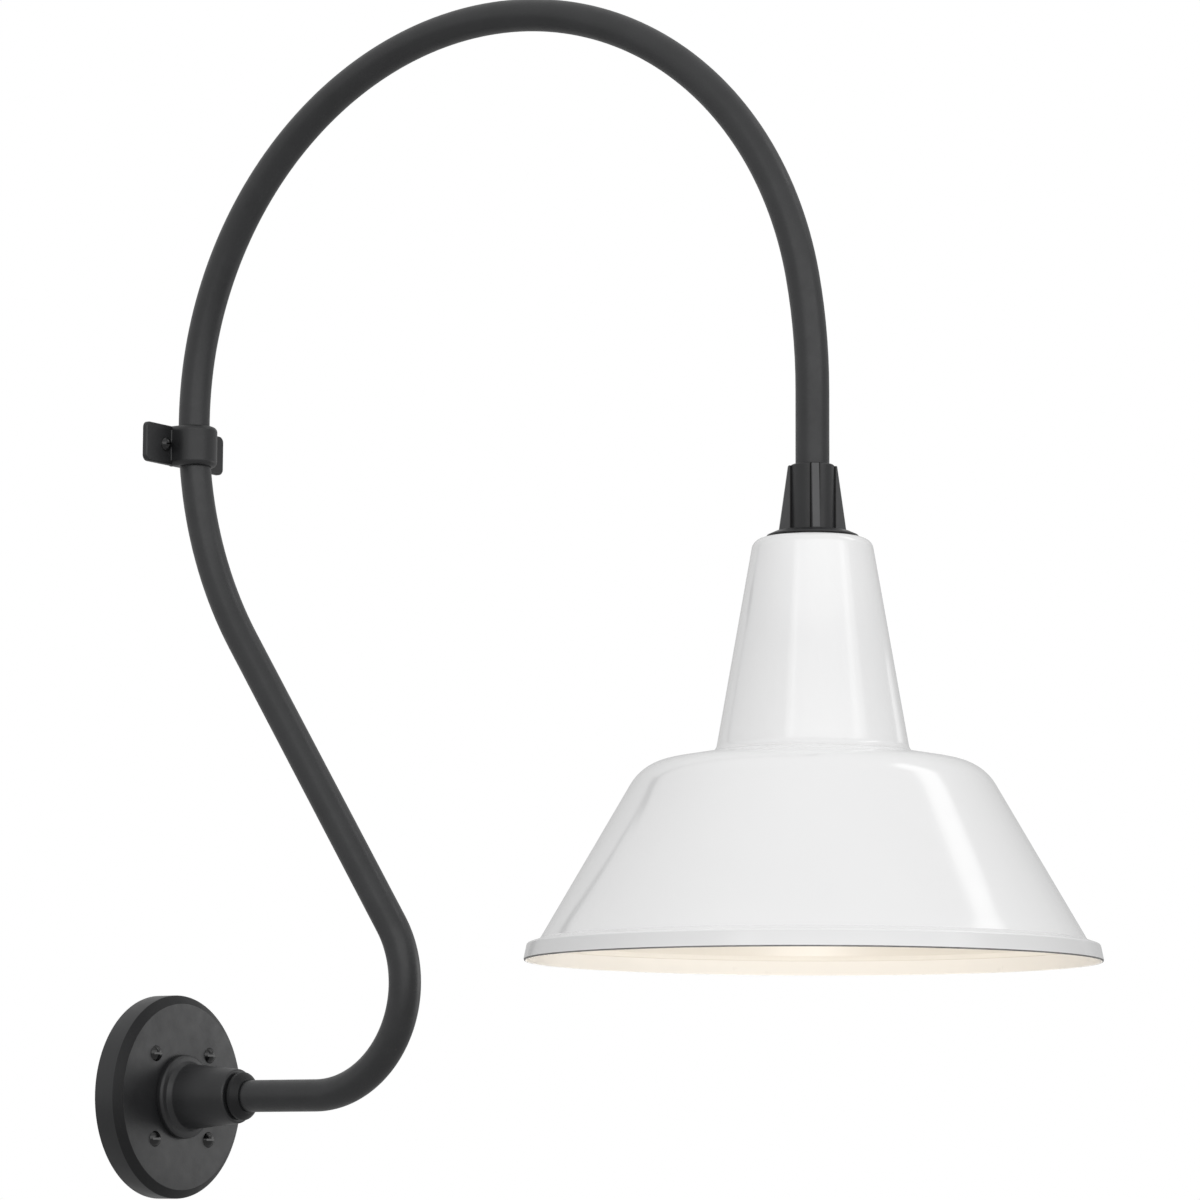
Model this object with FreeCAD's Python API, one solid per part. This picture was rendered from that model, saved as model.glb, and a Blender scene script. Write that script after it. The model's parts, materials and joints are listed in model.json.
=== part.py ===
import FreeCAD, Part
import math
import os

# Barn light: round wall backplate, long hooked tube arm with a wall clamp near
# its middle, ribbed shade cap and a spun "angle neck" shade.
# Millimetres. Origin: centre of the wall plane behind the backplate.
# +X points out of the wall, +Y along it, +Z up.

V = FreeCAD.Vector
os.makedirs("parts", exist_ok=True)

# ---------------------------------------------------------------- dimensions
# arm
TUBE_R = 10.55           # outer radius of the arm's tube
TUBE_WALL = 1.6
TUBE_START_X = 38.0      # where the tube seats in the hub
BEND1_X = 131.7          # start of the first bend
BEND1_R = 71.6
RISE_HEADING = 123.097   # heading of the straight diagonal, degrees from +X
RISE_LEN = 230.763
HOOK_R1 = 277.907        # the hook is three tangent arcs
HOOK_H1 = 83.536
HOOK_R2 = 245.005
HOOK_H2 = -78.869
HOOK_R3 = 381.494
TUBE_END_Z = 361.0       # lower end, inside the shade cap

# backplate and mounting plate
PLATE_R = 67.7           # backplate outer radius
PLATE_EDGE_X = 15.6      # front of the cylindrical edge
PLATE_FACE_X = 19.8      # flat front face
PLATE_FACE_R = 62.2      # flat face radius, inside the bevel
PLATE_WALL = 3.2
CAVITY_R = 57.0
SCREW_SQ = 28.2          # backplate screws stand at +-28.2 in Y and Z
MP_R = 56.0              # mounting plate radius
MP_T = 2.0
SLOT_CC = 88.9           # slots of the standard 4 in box, along Y
SLOT_LEN = 14.0
SLOT_R = 2.4
SLOT2_CC = 69.85         # slots of the smaller box, along Z
SLOT2_LEN = 10.0

# hub
HUB_RING_R = 27.9
HUB_RING_X = 24.2
HUB_BASE_R = 21.7
HUB_BASE_X = 28.2
HUB_NOSE_R = 17.95
HUB_NOSE_X = 67.7
SPIGOT_R = 12.4
SPIGOT_X = 8.0
COLLAR_END_X = 76.4

# wall clamp
CLAMP_Z = 439.6
CLAMP_OUT_R = 15.5
CLAMP_H = 27.6
EAR_H = 26.9
EAR_HALF = 41.6
EAR_X0 = 10.1
EAR_X1 = 13.6
CLAMP_SCREW_Y = 21.4
WALL_HOLE_CC = 12.0      # clamp block's two wall holes, one above the other
WALL_HOLE_R = 2.2

# shade
SHADE_T = 1.2
SHADE_TOP_Z = 339.6
NECK_R_REF = 39.1        # neck radius at z = 325.85
NECK_Z_REF = 325.85
NECK_SLOPE = 0.1745
NECK_TOP_FILLET = 7.2
NECK_FOOT_FILLET = 6.4
DOME_Z_REF = 206.8       # shallow top of the dome, at r = 59.85
DOME_R_REF = 59.85
DOME_ANGLE = 10.07
SHOULDER_R = 30.6
SKIRT_R_REF = 166.45     # skirt radius at z = 93.1
SKIRT_Z_REF = 93.1
SKIRT_SLOPE = 0.5795
RIM_TOP_Z = 91.05        # foot of the skirt, where the rim's ledge starts
RIM_LEDGE_R = 175.4      # outer corner of the ledge
RIM_LEDGE_Z = 88.5
RIM_R = 177.3            # bottom of the flared lip
RIM_LIP_Z = 79.3
RIM_BOTTOM_Z = 78.1
SHADE_HOLE_R = 8.9

# shade cap
CAP_TOP_Z = 386.0
CAP_BARREL_R = 13.6
CAP_FLANGE_R = 28.5
FIN_T = 5.0
FIN_R_TOP = 15.2
FIN_R_BOTTOM = 21.0
FIN_ANGLE = -51.9        # direction of the first fin, degrees from +X
GASKET_T = 1.1

# nipple and lampholder
NIP_R = 8.3
NIP_BORE_R = 6.4
NIP_BOTTOM_Z = 322.6
HOLDER_SCREW_Y = 22.6
SHELL_PITCH = 3.629      # seven threads to the inch

# bulb
BULB_R = 30.0
BULB_BOTTOM_Z = 191.5

LEAD_R = 1.3
LEAD_Y = 4.2


# ------------------------------------------------------------------- helpers
def rounded_edges(pts, to3d):
    """Closed outline through pts (u, v, corner radius) as tangent lines and arcs."""
    n = len(pts)
    ends = []
    for i in range(n):
        u, v, r = pts[i]
        if r <= 0:
            ends.append(((u, v), (u, v), None))
            continue
        au, av = pts[i - 1][0], pts[i - 1][1]
        bu, bv = pts[(i + 1) % n][0], pts[(i + 1) % n][1]
        l1 = math.hypot(au - u, av - v)
        l2 = math.hypot(bu - u, bv - v)
        d1 = ((au - u) / l1, (av - v) / l1)
        d2 = ((bu - u) / l2, (bv - v) / l2)
        ang = math.acos(max(-1.0, min(1.0, d1[0] * d2[0] + d1[1] * d2[1])))
        t = r / math.tan(ang / 2)
        p1 = (u + d1[0] * t, v + d1[1] * t)
        p2 = (u + d2[0] * t, v + d2[1] * t)
        bx, by = d1[0] + d2[0], d1[1] + d2[1]
        bl = math.hypot(bx, by)
        bx, by = bx / bl, by / bl
        k = r / math.sin(ang / 2)
        mid = (u + bx * (k - r), v + by * (k - r))
        ends.append((p1, p2, mid))
    edges = []
    for i in range(n):
        a = ends[i - 1][1]
        b = ends[i][0]
        if math.hypot(a[0] - b[0], a[1] - b[1]) > 1e-6:
            edges.append(Part.LineSegment(to3d(*a), to3d(*b)).toShape())
        if ends[i][2] is not None:
            edges.append(Part.Arc(to3d(*ends[i][0]), to3d(*ends[i][2]), to3d(*ends[i][1])).toShape())
    return edges


def revolve_x(pts):
    """Solid of revolution about the X axis from (x, r, corner radius)."""
    w = Part.Wire(rounded_edges(pts, lambda x, r: V(x, 0, r)))
    return Part.Face(w).revolve(V(0, 0, 0), V(1, 0, 0), 360)


def revolve_z(pts, cx):
    """Solid of revolution about the vertical line x = cx from (r, z, corner radius)."""
    w = Part.Wire(rounded_edges(pts, lambda r, z: V(cx + r, 0, z)))
    return Part.Face(w).revolve(V(cx, 0, 0), V(0, 0, 1), 360)


def prism(pts, to3d, direction):
    return Part.Face(Part.Wire(rounded_edges(pts, to3d))).extrude(direction)


def cyl(r, h, base, direction):
    return Part.makeCylinder(r, h, base, direction)


def hexagon(af, bore, h, base, direction, turn=0.0):
    """Hexagon nut with lightly chamfered corners, bore along direction."""
    cr = af / 2 / math.cos(math.radians(30))
    pts = []
    for k in range(7):
        a = math.radians(turn + 30 + 60 * k)
        pts.append(V(cr * math.cos(a), cr * math.sin(a), 0))
    body = Part.Face(Part.makePolygon(pts)).extrude(V(0, 0, h))
    cone = Part.Face(Part.Wire(rounded_edges(
        [(0, 0, 0), (af / 2 - 0.2, 0, 0), (cr + 0.3, (cr - af / 2) * 0.6, 0), (cr + 0.3, h - (cr - af / 2) * 0.6, 0),
         (af / 2 - 0.2, h, 0), (0, h, 0)], lambda r, z: V(r, 0, z)))).revolve(V(0, 0, 0), V(0, 0, 1), 360)
    body = body.common(cone).cut(cyl(bore, h + 2, V(0, 0, -1), V(0, 0, 1)))
    m = FreeCAD.Placement(base, FreeCAD.Rotation(V(0, 0, 1), direction))
    body.Placement = m
    return body


def path_segments(start, heading, moves):
    """Planar path in XZ: ('L', length) or ('A', radius, turn in degrees, left positive)."""
    x, z = start
    h = math.radians(heading)
    segs = []
    for m in moves:
        if m[0] == "L":
            nx, nz = x + m[1] * math.cos(h), z + m[1] * math.sin(h)
            segs.append(("L", (x, z), (nx, nz), h))
            x, z = nx, nz
        else:
            r, turn = m[1], math.radians(m[2])
            s = 1 if turn > 0 else -1
            cx, cz = x - s * r * math.sin(h), z + s * r * math.cos(h)
            segs.append(("A", (x, z), (cx, cz), m[2], h))
            h += turn
            x, z = cx + s * r * math.sin(h), cz - s * r * math.cos(h)
    return segs, (x, z), h


def sweep(segs, r_out, r_in, y):
    """Tube or rod of exact cylinders and torus arcs along a planar path at offset y."""
    pieces = []
    for s in segs:
        x, z = s[1]
        h = s[3] if s[0] == "L" else s[4]
        d = V(math.cos(h), 0, math.sin(h))
        face = Part.Face(Part.Wire(Part.Circle(V(x, y, z), d, r_out).toShape()))
        if r_in > 0:
            face = face.cut(Part.Face(Part.Wire(Part.Circle(V(x, y, z), d, r_in).toShape()))).Faces[0]
        if s[0] == "L":
            length = math.hypot(s[2][0] - x, s[2][1] - z)
            pieces.append(face.extrude(d * length))
        else:
            cx, cz = s[2]
            turn = s[3]
            axis = V(0, -1, 0) if turn > 0 else V(0, 1, 0)
            pieces.append(face.revolve(V(cx, y, cz), axis, abs(turn)))
    out = pieces[0]
    for p in pieces[1:]:
        out = out.fuse(p)
    return out


def slot_cutter(cy, cz, along_y, length, r, x0, x1):
    half = length / 2 - r
    if along_y:
        a, b = V(x0, cy - half, cz), V(x0, cy + half, cz)
        box = Part.makeBox(x1 - x0, 2 * half, 2 * r, V(x0, cy - half, cz - r))
    else:
        a, b = V(x0, cy, cz - half), V(x0, cy, cz + half)
        box = Part.makeBox(x1 - x0, 2 * r, 2 * half, V(x0, cy - r, cz - half))
    return box.fuse([cyl(r, x1 - x0, a, V(1, 0, 0)), cyl(r, x1 - x0, b, V(1, 0, 0))])


def save(name, shape):
    solids = shape.Solids
    if len(solids) == 1:
        shape = solids[0]
    else:
        shape = Part.makeCompound(solids)
    if not shape.isValid():
        print("INVALID", name)
    shape.exportStep("parts/" + name + ".step")
    bb = shape.BoundBox
    print("%-22s solids %d  vol %9.1f  x %.1f..%.1f y %.1f..%.1f z %.1f..%.1f" % (
        name, len(solids), shape.Volume, bb.XMin, bb.XMax, bb.YMin, bb.YMax, bb.ZMin, bb.ZMax))
    return shape


PX = V(1, 0, 0)
PZ = V(0, 0, 1)
CORNERS = [(-SCREW_SQ, -SCREW_SQ), (SCREW_SQ, -SCREW_SQ), (-SCREW_SQ, SCREW_SQ), (SCREW_SQ, SCREW_SQ)]

# ------------------------------------------------------------------ arm path
ARM_MOVES = [
    ("A", BEND1_R, RISE_HEADING),
    ("L", RISE_LEN),
    ("A", HOOK_R1, HOOK_H1 - RISE_HEADING),
    ("A", HOOK_R2, HOOK_H2 - HOOK_H1),
    ("A", HOOK_R3, -90.0 - HOOK_H2),
]
_segs, _end, _h = path_segments((BEND1_X, 0.0), 0.0, ARM_MOVES)
XS = _end[0]             # the shade's axis
HOOK_END_Z = _end[1]
ARM_SEGS = path_segments((TUBE_START_X, 0.0), 0.0,
                         [("L", BEND1_X - TUBE_START_X)] + ARM_MOVES + [("L", HOOK_END_Z - TUBE_END_Z)])[0]
# the hook's first arc, whose leftmost point is beside the wall clamp
HOOK1_C = _segs[2][2]
CLAMP_X = HOOK1_C[0] - math.sqrt(HOOK_R1 ** 2 - (CLAMP_Z - HOOK1_C[1]) ** 2)
print("shade axis x %.2f, hook ends z %.2f, clamp x %.2f" % (XS, HOOK_END_Z, CLAMP_X))

# ----------------------------------------------------------------- backplate
# thin foam ring squeezed between the wall and the backplate's rim
wall_gasket = cyl(61.7, 2.5, V(0, 0, 0), PX).cut(cyl(57.3, 4, V(-1, 0, 0), PX))
save("wall_gasket", wall_gasket)

mounting_plate = cyl(MP_R, MP_T, V(0, 0, 0), PX).cut(cyl(17.0, 6, V(-2, 0, 0), PX))
for sy in (-1, 1):
    mounting_plate = mounting_plate.cut(slot_cutter(sy * SLOT_CC / 2, 0, True, SLOT_LEN, SLOT_R, -2, 4))
    mounting_plate = mounting_plate.cut(slot_cutter(0, sy * SLOT2_CC / 2, False, SLOT2_LEN, SLOT_R, -2, 4))
for y, z in CORNERS:
    mounting_plate = mounting_plate.cut(cyl(2.3, 6, V(-2, y, z), PX))
GROUND_Z = -24.0
mounting_plate = mounting_plate.cut(cyl(1.85, 6, V(-2, 0, GROUND_Z), PX))
save("mounting_plate", mounting_plate)

plate_nuts = [hexagon(8.0, 2.1, 3.2, V(MP_T, y, z), PX) for y, z in CORNERS]
save("plate_nuts", Part.makeCompound(plate_nuts))

backplate = revolve_x([
    (0, 62.0, 0), (0, PLATE_R, 0.5), (PLATE_EDGE_X, PLATE_R, 1.0), (PLATE_FACE_X, PLATE_FACE_R, 1.0),
    (PLATE_FACE_X, 12.6, 0), (PLATE_FACE_X - PLATE_WALL, 12.6, 0), (PLATE_FACE_X - PLATE_WALL, 54.0, 1.5),
    (13.4, CAVITY_R, 1.0), (2.5, CAVITY_R, 0), (2.5, 62.0, 0)])
for y, z in CORNERS:
    backplate = backplate.cut(cyl(2.3, 10, V(14, y, z), PX))
save("backplate", backplate)


def round_head_x(x, y, z, r, h, slot_w, slot_d, cross=False, slot_len=None):
    """Domed screw head standing on the plane at x, driven by one slot or a cross."""
    rs = (r * r + h * h) / (2 * h)
    ball = Part.makeSphere(rs, V(x + h - rs, y, z))
    head = ball.common(cyl(r, h, V(x, y, z), PX))
    half = slot_len / 2 if slot_len else r + 1
    head = head.cut(Part.makeBox(slot_d + 2, 2 * half, slot_w, V(x + h - slot_d, y - half, z - slot_w / 2)))
    if cross:
        head = head.cut(Part.makeBox(slot_d + 2, slot_w, 2 * half, V(x + h - slot_d, y - slot_w / 2, z - half)))
    return head


backplate_screws = []
for y, z in CORNERS:
    s = round_head_x(PLATE_FACE_X, y, z, 5.3, 3.4, 1.4, 1.7)
    backplate_screws.append(s.fuse(cyl(2.0, PLATE_FACE_X - 1.0, V(1.0, y, z), PX)))
save("backplate_screws", Part.makeCompound(backplate_screws))

# ----------------------------------------------------------------------- hub
hub = revolve_x([
    (SPIGOT_X, 7.5, 0), (SPIGOT_X, SPIGOT_R, 0.4), (PLATE_FACE_X, SPIGOT_R, 0), (PLATE_FACE_X, HUB_RING_R, 0.4),
    (HUB_RING_X, HUB_RING_R, 2.6), (HUB_RING_X + 0.9, 23.5, 1.4), (HUB_BASE_X, HUB_BASE_R, 3.0),
    (HUB_NOSE_X, HUB_NOSE_R, 1.6), (HUB_NOSE_X, TUBE_R + 0.1, 0), (TUBE_START_X, TUBE_R + 0.1, 0),
    (TUBE_START_X, 7.5, 0)])
HSS_X = 55.0
hub = hub.cut(cyl(2.55, 12, V(HSS_X, TUBE_R, 0), V(0, 1, 0)))
save("hub", hub)

hub_set_screw = cyl(2.45, 7.0, V(HSS_X, TUBE_R + 0.05, 0), V(0, 1, 0))
hub_set_screw = hub_set_screw.cut(cyl(1.25, 4, V(HSS_X, TUBE_R + 4.6, 0), V(0, 1, 0)))
save("hub_set_screw", hub_set_screw)

hub_washer = cyl(19.0, 1.2, V(15.4, 0, 0), PX).cut(cyl(12.6, 3, V(15, 0, 0), PX))
save("hub_washer", hub_washer)
hub_locknut = hexagon(34.0, 12.5, 5.0, V(10.4, 0, 0), PX)
save("hub_locknut", hub_locknut)

hub_collar = revolve_x([
    (HUB_NOSE_X, TUBE_R + 0.1, 0), (HUB_NOSE_X, 14.0, 0), (HUB_NOSE_X + 1.9, 14.0, 0.4), (HUB_NOSE_X + 1.9, 15.9, 0.6),
    (HUB_NOSE_X + 4.4, 15.9, 1.6), (HUB_NOSE_X + 6.8, 13.8, 1.8), (COLLAR_END_X, 11.9, 0.6),
    (COLLAR_END_X, TUBE_R + 0.1, 0)])
save("hub_collar", hub_collar)

wire_bushing = revolve_x([
    (7.0, 6.2, 0.3), (7.0, 9.2, 0.3), (SPIGOT_X, 9.2, 0), (SPIGOT_X, 7.4, 0), (14.0, 7.4, 0), (14.0, 6.2, 0)])
save("wire_bushing", wire_bushing)

# ----------------------------------------------------------------------- arm
arm_tube = sweep(ARM_SEGS, TUBE_R, TUBE_R - TUBE_WALL, 0.0)
save("arm_tube", arm_tube)
_len = sum(math.hypot(s[2][0] - s[1][0], s[2][1] - s[1][1]) if s[0] == "L"
           else math.hypot(s[2][0] - s[1][0], s[2][1] - s[1][1]) * math.radians(abs(s[3])) for s in ARM_SEGS)
print("arm length %.1f, volume by length %.1f, solid %.1f" % (
    _len, _len * math.pi * (TUBE_R ** 2 - (TUBE_R - TUBE_WALL) ** 2), arm_tube.Volume))

# ---------------------------------------------------------------- wall clamp
# solid bend of the arm, used to cut the clamp's seats to the tube's own curve
def bend_solid(extra):
    face = Part.Face(Part.Wire(Part.Circle(V(HOOK1_C[0] - HOOK_R1, 0, HOOK1_C[1]), PZ, TUBE_R + extra).toShape()))
    a = face.revolve(V(HOOK1_C[0], 0, HOOK1_C[1]), V(0, -1, 0), 9)
    b = face.revolve(V(HOOK1_C[0], 0, HOOK1_C[1]), V(0, 1, 0), 9)
    return a.fuse(b)


zc0 = CLAMP_Z - CLAMP_H / 2
saddle = prism([(EAR_X0, -CLAMP_OUT_R, 0), (CLAMP_X, -CLAMP_OUT_R, 0), (CLAMP_X, CLAMP_OUT_R, 0), (EAR_X0, CLAMP_OUT_R, 0)],
               lambda x, y: V(x, y, zc0), V(0, 0, CLAMP_H))
saddle = saddle.fuse(cyl(CLAMP_OUT_R, CLAMP_H, V(CLAMP_X, 0, zc0), PZ)).removeSplitter()
_sel = []
for e in saddle.Edges:
    b = e.BoundBox
    if b.ZLength < 1e-6 and b.XMax > EAR_X0 + 0.5:
        _sel.append(e)
saddle = saddle.makeFillet(3.6, _sel)
ears = prism([(-EAR_HALF, CLAMP_Z - EAR_H / 2, 4.2), (EAR_HALF, CLAMP_Z - EAR_H / 2, 4.2),
              (EAR_HALF, CLAMP_Z + EAR_H / 2, 4.2), (-EAR_HALF, CLAMP_Z + EAR_H / 2, 4.2)],
             lambda y, z: V(EAR_X0, y, z), V(EAR_X1 - EAR_X0, 0, 0))
_sel = [e for e in ears.Edges if abs(e.BoundBox.XMin - EAR_X1) < 1e-6 and e.BoundBox.XLength < 1e-6]
ears = ears.makeFillet(1.5, _sel)
clamp_strap = saddle.fuse(ears)
# cove where the ears meet the saddle
for sy in (-1, 1):
    cove = Part.makeBox(0.8, 0.8, EAR_H - 6, V(EAR_X1, CLAMP_OUT_R if sy > 0 else -CLAMP_OUT_R - 0.8, CLAMP_Z - EAR_H / 2 + 3))
    cove = cove.cut(cyl(0.8, EAR_H, V(EAR_X1 + 0.8, sy * (CLAMP_OUT_R + 0.8), CLAMP_Z - EAR_H / 2), PZ))
    clamp_strap = clamp_strap.fuse(cove)
clamp_strap = clamp_strap.cut(Part.makeBox(EAR_X0, 60.0, 60.0, V(0, -30.0, CLAMP_Z - 30.0)))
clamp_strap = clamp_strap.cut(bend_solid(0.12))
clamp_strap = clamp_strap.cut(Part.makeBox(CLAMP_X, 2 * (TUBE_R + 0.25), CLAMP_H + 4, V(0, -(TUBE_R + 0.25), zc0 - 2)))
for sy in (-1, 1):
    clamp_strap = clamp_strap.cut(cyl(2.75, 12, V(4, sy * CLAMP_SCREW_Y, CLAMP_Z), PX))
save("clamp_strap", clamp_strap)

# stand-off block behind the strap, with a cradle for the back of the tube
clamp_block = Part.makeBox(EAR_X0, 50.0, 22.0, V(0, -25.0, CLAMP_Z - 11.0))
clamp_block = clamp_block.makeChamfer(0.8, [e for e in clamp_block.Edges if e.BoundBox.XLength > 5])
clamp_block = clamp_block.fuse(Part.makeBox(8.0, 19.0, 22.0, V(EAR_X0 - 1.0, -9.5, CLAMP_Z - 11.0)))
clamp_block = clamp_block.cut(bend_solid(0.06))
for sz in (-1, 1):
    z = CLAMP_Z + sz * WALL_HOLE_CC / 2
    clamp_block = clamp_block.cut(cyl(WALL_HOLE_R, 30, V(-5, 0, z), PX))
    clamp_block = clamp_block.cut(cyl(4.3, 30, V(5.0, 0, z), PX))
for sy in (-1, 1):
    clamp_block = clamp_block.cut(cyl(2.5, 20, V(-5, sy * CLAMP_SCREW_Y, CLAMP_Z), PX))
save("clamp_block", clamp_block)

clamp_screws = []
for sy in (-1, 1):
    s = round_head_x(EAR_X1, sy * CLAMP_SCREW_Y, CLAMP_Z, 4.9, 3.8, 1.2, 1.9, True, 5.8)
    clamp_screws.append(s.fuse(cyl(2.4, EAR_X1 - 0.8, V(0.8, sy * CLAMP_SCREW_Y, CLAMP_Z), PX)))
save("clamp_screws", Part.makeCompound(clamp_screws))

# ----------------------------------------------------------------- shade cap
FLANGE_Z0 = SHADE_TOP_Z + GASKET_T
FLANGE_Z1 = FLANGE_Z0 + 3.3
cap_gasket = cyl(28.1, GASKET_T, V(XS, 0, SHADE_TOP_Z), PZ).cut(cyl(9.2, 4, V(XS, 0, SHADE_TOP_Z - 1), PZ))
save("cap_gasket", cap_gasket)

shade_cap = revolve_z([
    (NIP_R + 0.15, FLANGE_Z0, 0), (CAP_FLANGE_R, FLANGE_Z0, 0.3), (CAP_FLANGE_R, FLANGE_Z0 + 1.0, 0.45),
    (23.4, FLANGE_Z1, 1.0), (CAP_BARREL_R, FLANGE_Z1, 0.8), (CAP_BARREL_R, CAP_TOP_Z, 1.0),
    (TUBE_R + 0.1, CAP_TOP_Z, 0.5), (TUBE_R + 0.1, TUBE_END_Z - 0.2, 0), (NIP_R + 0.15, TUBE_END_Z - 0.2, 0)], XS)
for k in range(4):
    a = math.radians(FIN_ANGLE + 90 * k)
    fin = prism([(12.2, FLANGE_Z1 - 0.6, 0), (FIN_R_BOTTOM, FLANGE_Z1 - 0.6, 0), (FIN_R_BOTTOM, FLANGE_Z1, 0),
                 (FIN_R_TOP, CAP_TOP_Z - 0.6, 0.5), (12.2, CAP_TOP_Z - 0.6, 0)],
                lambda r, z: V(r, -FIN_T / 2, z), V(0, FIN_T, 0))
    _sel = []
    for e in fin.Edges:
        b = e.BoundBox
        # the two long sloping outer edges
        if b.ZLength > 30 and b.XLength > 3 and b.YLength < 1e-6:
            _sel.append(e)
    fin = fin.makeFillet(0.7, _sel)
    fin.rotate(V(0, 0, 0), PZ, math.degrees(a))
    fin.translate(V(XS, 0, 0))
    shade_cap = shade_cap.fuse(fin)
# keep the barrel's bores clear of the fins' roots
CSS_A = math.radians(FIN_ANGLE + 135)
CSS_D = V(math.cos(CSS_A), math.sin(CSS_A), 0)
CSS_Z = 374.0
shade_cap = shade_cap.cut(cyl(2.1, 12, V(XS, 0, CSS_Z) + CSS_D * 8.0, CSS_D))
save("shade_cap", shade_cap)

cap_set_screw = cyl(2.0, 3.6, V(XS, 0, CSS_Z) + CSS_D * (TUBE_R + 0.05), CSS_D)
cap_set_screw = cap_set_screw.cut(cyl(1.0, 3, V(XS, 0, CSS_Z) + CSS_D * (TUBE_R + 2.0), CSS_D))
save("cap_set_screw", cap_set_screw)

# --------------------------------------------------------------------- shade
tan_d = math.tan(math.radians(DOME_ANGLE))


def neck_r(z, d=0.0):
    return NECK_R_REF + NECK_SLOPE * (NECK_Z_REF - z) - d * math.sqrt(1 + NECK_SLOPE ** 2)


def dome_z(r, d=0.0):
    return DOME_Z_REF - tan_d * (r - DOME_R_REF) - d * math.sqrt(1 + tan_d ** 2)


def skirt_r(z, d=0.0):
    return SKIRT_R_REF + SKIRT_SLOPE * (SKIRT_Z_REF - z) - d * math.sqrt(1 + SKIRT_SLOPE ** 2)


def corner(fr, d):
    """Where the neck or the skirt line meets the dome's line, both offset inwards by d."""
    z = DOME_Z_REF
    for _ in range(200):
        r = fr(z, d)
        z = 0.5 * z + 0.5 * dome_z(r, d)
    return fr(z, d), z


no, so = corner(neck_r, 0.0), corner(skirt_r, 0.0)
ni, si = corner(neck_r, SHADE_T), corner(skirt_r, SHADE_T)
ti = SHADE_TOP_Z - SHADE_T
shade = revolve_z([
    (SHADE_HOLE_R, SHADE_TOP_Z, 0),
    (neck_r(SHADE_TOP_Z), SHADE_TOP_Z, NECK_TOP_FILLET),
    (no[0], no[1], NECK_FOOT_FILLET),
    (so[0], so[1], SHOULDER_R),
    (skirt_r(RIM_TOP_Z), RIM_TOP_Z, 0.8),
    (RIM_LEDGE_R, RIM_LEDGE_Z, 2.0),
    (RIM_R, RIM_LIP_Z, 0.9),
    (RIM_R - 0.3, RIM_BOTTOM_Z, 0.5),
    (RIM_R - 1.65, RIM_BOTTOM_Z, 0.5),
    (RIM_R - 1.9, RIM_LIP_Z, 0.9),
    (RIM_LEDGE_R - 1.4, RIM_LEDGE_Z - 0.8, 0.9),
    (skirt_r(RIM_TOP_Z - 1.0, SHADE_T), RIM_TOP_Z - 1.0, 1.0),
    (si[0], si[1], SHOULDER_R - SHADE_T),
    (ni[0], ni[1], NECK_FOOT_FILLET + SHADE_T),
    (neck_r(ti, SHADE_T), ti, NECK_TOP_FILLET - SHADE_T),
    (SHADE_HOLE_R, ti, 0)], XS)
save("shade", shade)

# ---------------------------------------------------- nipple and lampholder
z_w = ti - 1.4
shade_washer = cyl(19.0, 1.4, V(XS, 0, z_w), PZ).cut(cyl(8.6, 4, V(XS, 0, z_w - 1), PZ))
save("shade_washer", shade_washer)

nipple = cyl(NIP_R, TUBE_END_Z - 0.4 - NIP_BOTTOM_Z, V(XS, 0, NIP_BOTTOM_Z), PZ).cut(
    cyl(NIP_BORE_R, 60, V(XS, 0, NIP_BOTTOM_Z - 5), PZ))
nipple = nipple.makeChamfer(0.6, [e for e in nipple.Edges if abs(e.BoundBox.XLength - 2 * NIP_R) < 0.01])
save("nipple", nipple)

z_n1 = z_w - 5.5
z_s = z_n1 - 2.0
z_n2 = z_s - 5.0
nut1 = hexagon(26.0, NIP_R + 0.1, 5.5, V(XS, 0, z_n1), PZ)
nut2 = hexagon(22.0, NIP_R + 0.1, 5.0, V(XS, 0, z_n2), PZ)
save("nipple_locknuts", Part.makeCompound([nut1, nut2]))

holder_strap = prism([(-7.0, -28.5, 2.5), (7.0, -28.5, 2.5), (7.0, 28.5, 2.5), (-7.0, 28.5, 2.5)],
                     lambda x, y: V(XS + x, y, z_s), V(0, 0, 2.0))
holder_strap = holder_strap.fuse(prism([(-23.0, -6.0, 2.0), (-5.0, -6.0, 0), (-5.0, 6.0, 0), (-23.0, 6.0, 2.0)],
                                       lambda x, y: V(XS + x, y, z_s), V(0, 0, 2.0)))
holder_strap = holder_strap.cut(cyl(NIP_R + 0.1, 6, V(XS, 0, z_s - 2), PZ))
for sy in (-1, 1):
    holder_strap = holder_strap.cut(cyl(2.05, 6, V(XS, sy * HOLDER_SCREW_Y, z_s - 2), PZ))
GLUG_X = -18.2
holder_strap = holder_strap.cut(cyl(1.6, 6, V(XS + GLUG_X, 0, z_s - 2), PZ)).removeSplitter()
save("holder_strap", holder_strap)

BODY_TOP = 312.5
FLG_Z = 304.5
MOUTH_Z = 277.0
lampholder_body = revolve_z([
    (0, BODY_TOP, 0), (28.6, BODY_TOP, 1.5), (28.6, FLG_Z, 1.5), (18.5, FLG_Z, 0.2), (18.2, MOUTH_Z, 1.4),
    (15.0, MOUTH_Z, 1.2), (15.0, 303.8, 0), (8.6, 303.8, 0), (8.6, 308.5, 0), (0, 308.5, 0)], XS)
for sy in (-1, 1):
    lampholder_body = lampholder_body.fuse(cyl(5.2, z_s - BODY_TOP + 2, V(XS, sy * HOLDER_SCREW_Y, BODY_TOP - 2), PZ))
for sy in (-1, 1):
    lampholder_body = lampholder_body.cut(cyl(2.2, 40, V(XS, sy * HOLDER_SCREW_Y, FLG_Z - 4), PZ))
    # rivet holes for the screw shell
    lampholder_body = lampholder_body.cut(cyl(1.3, 20, V(XS, sy * 11.6, 303.0), PZ))
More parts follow.
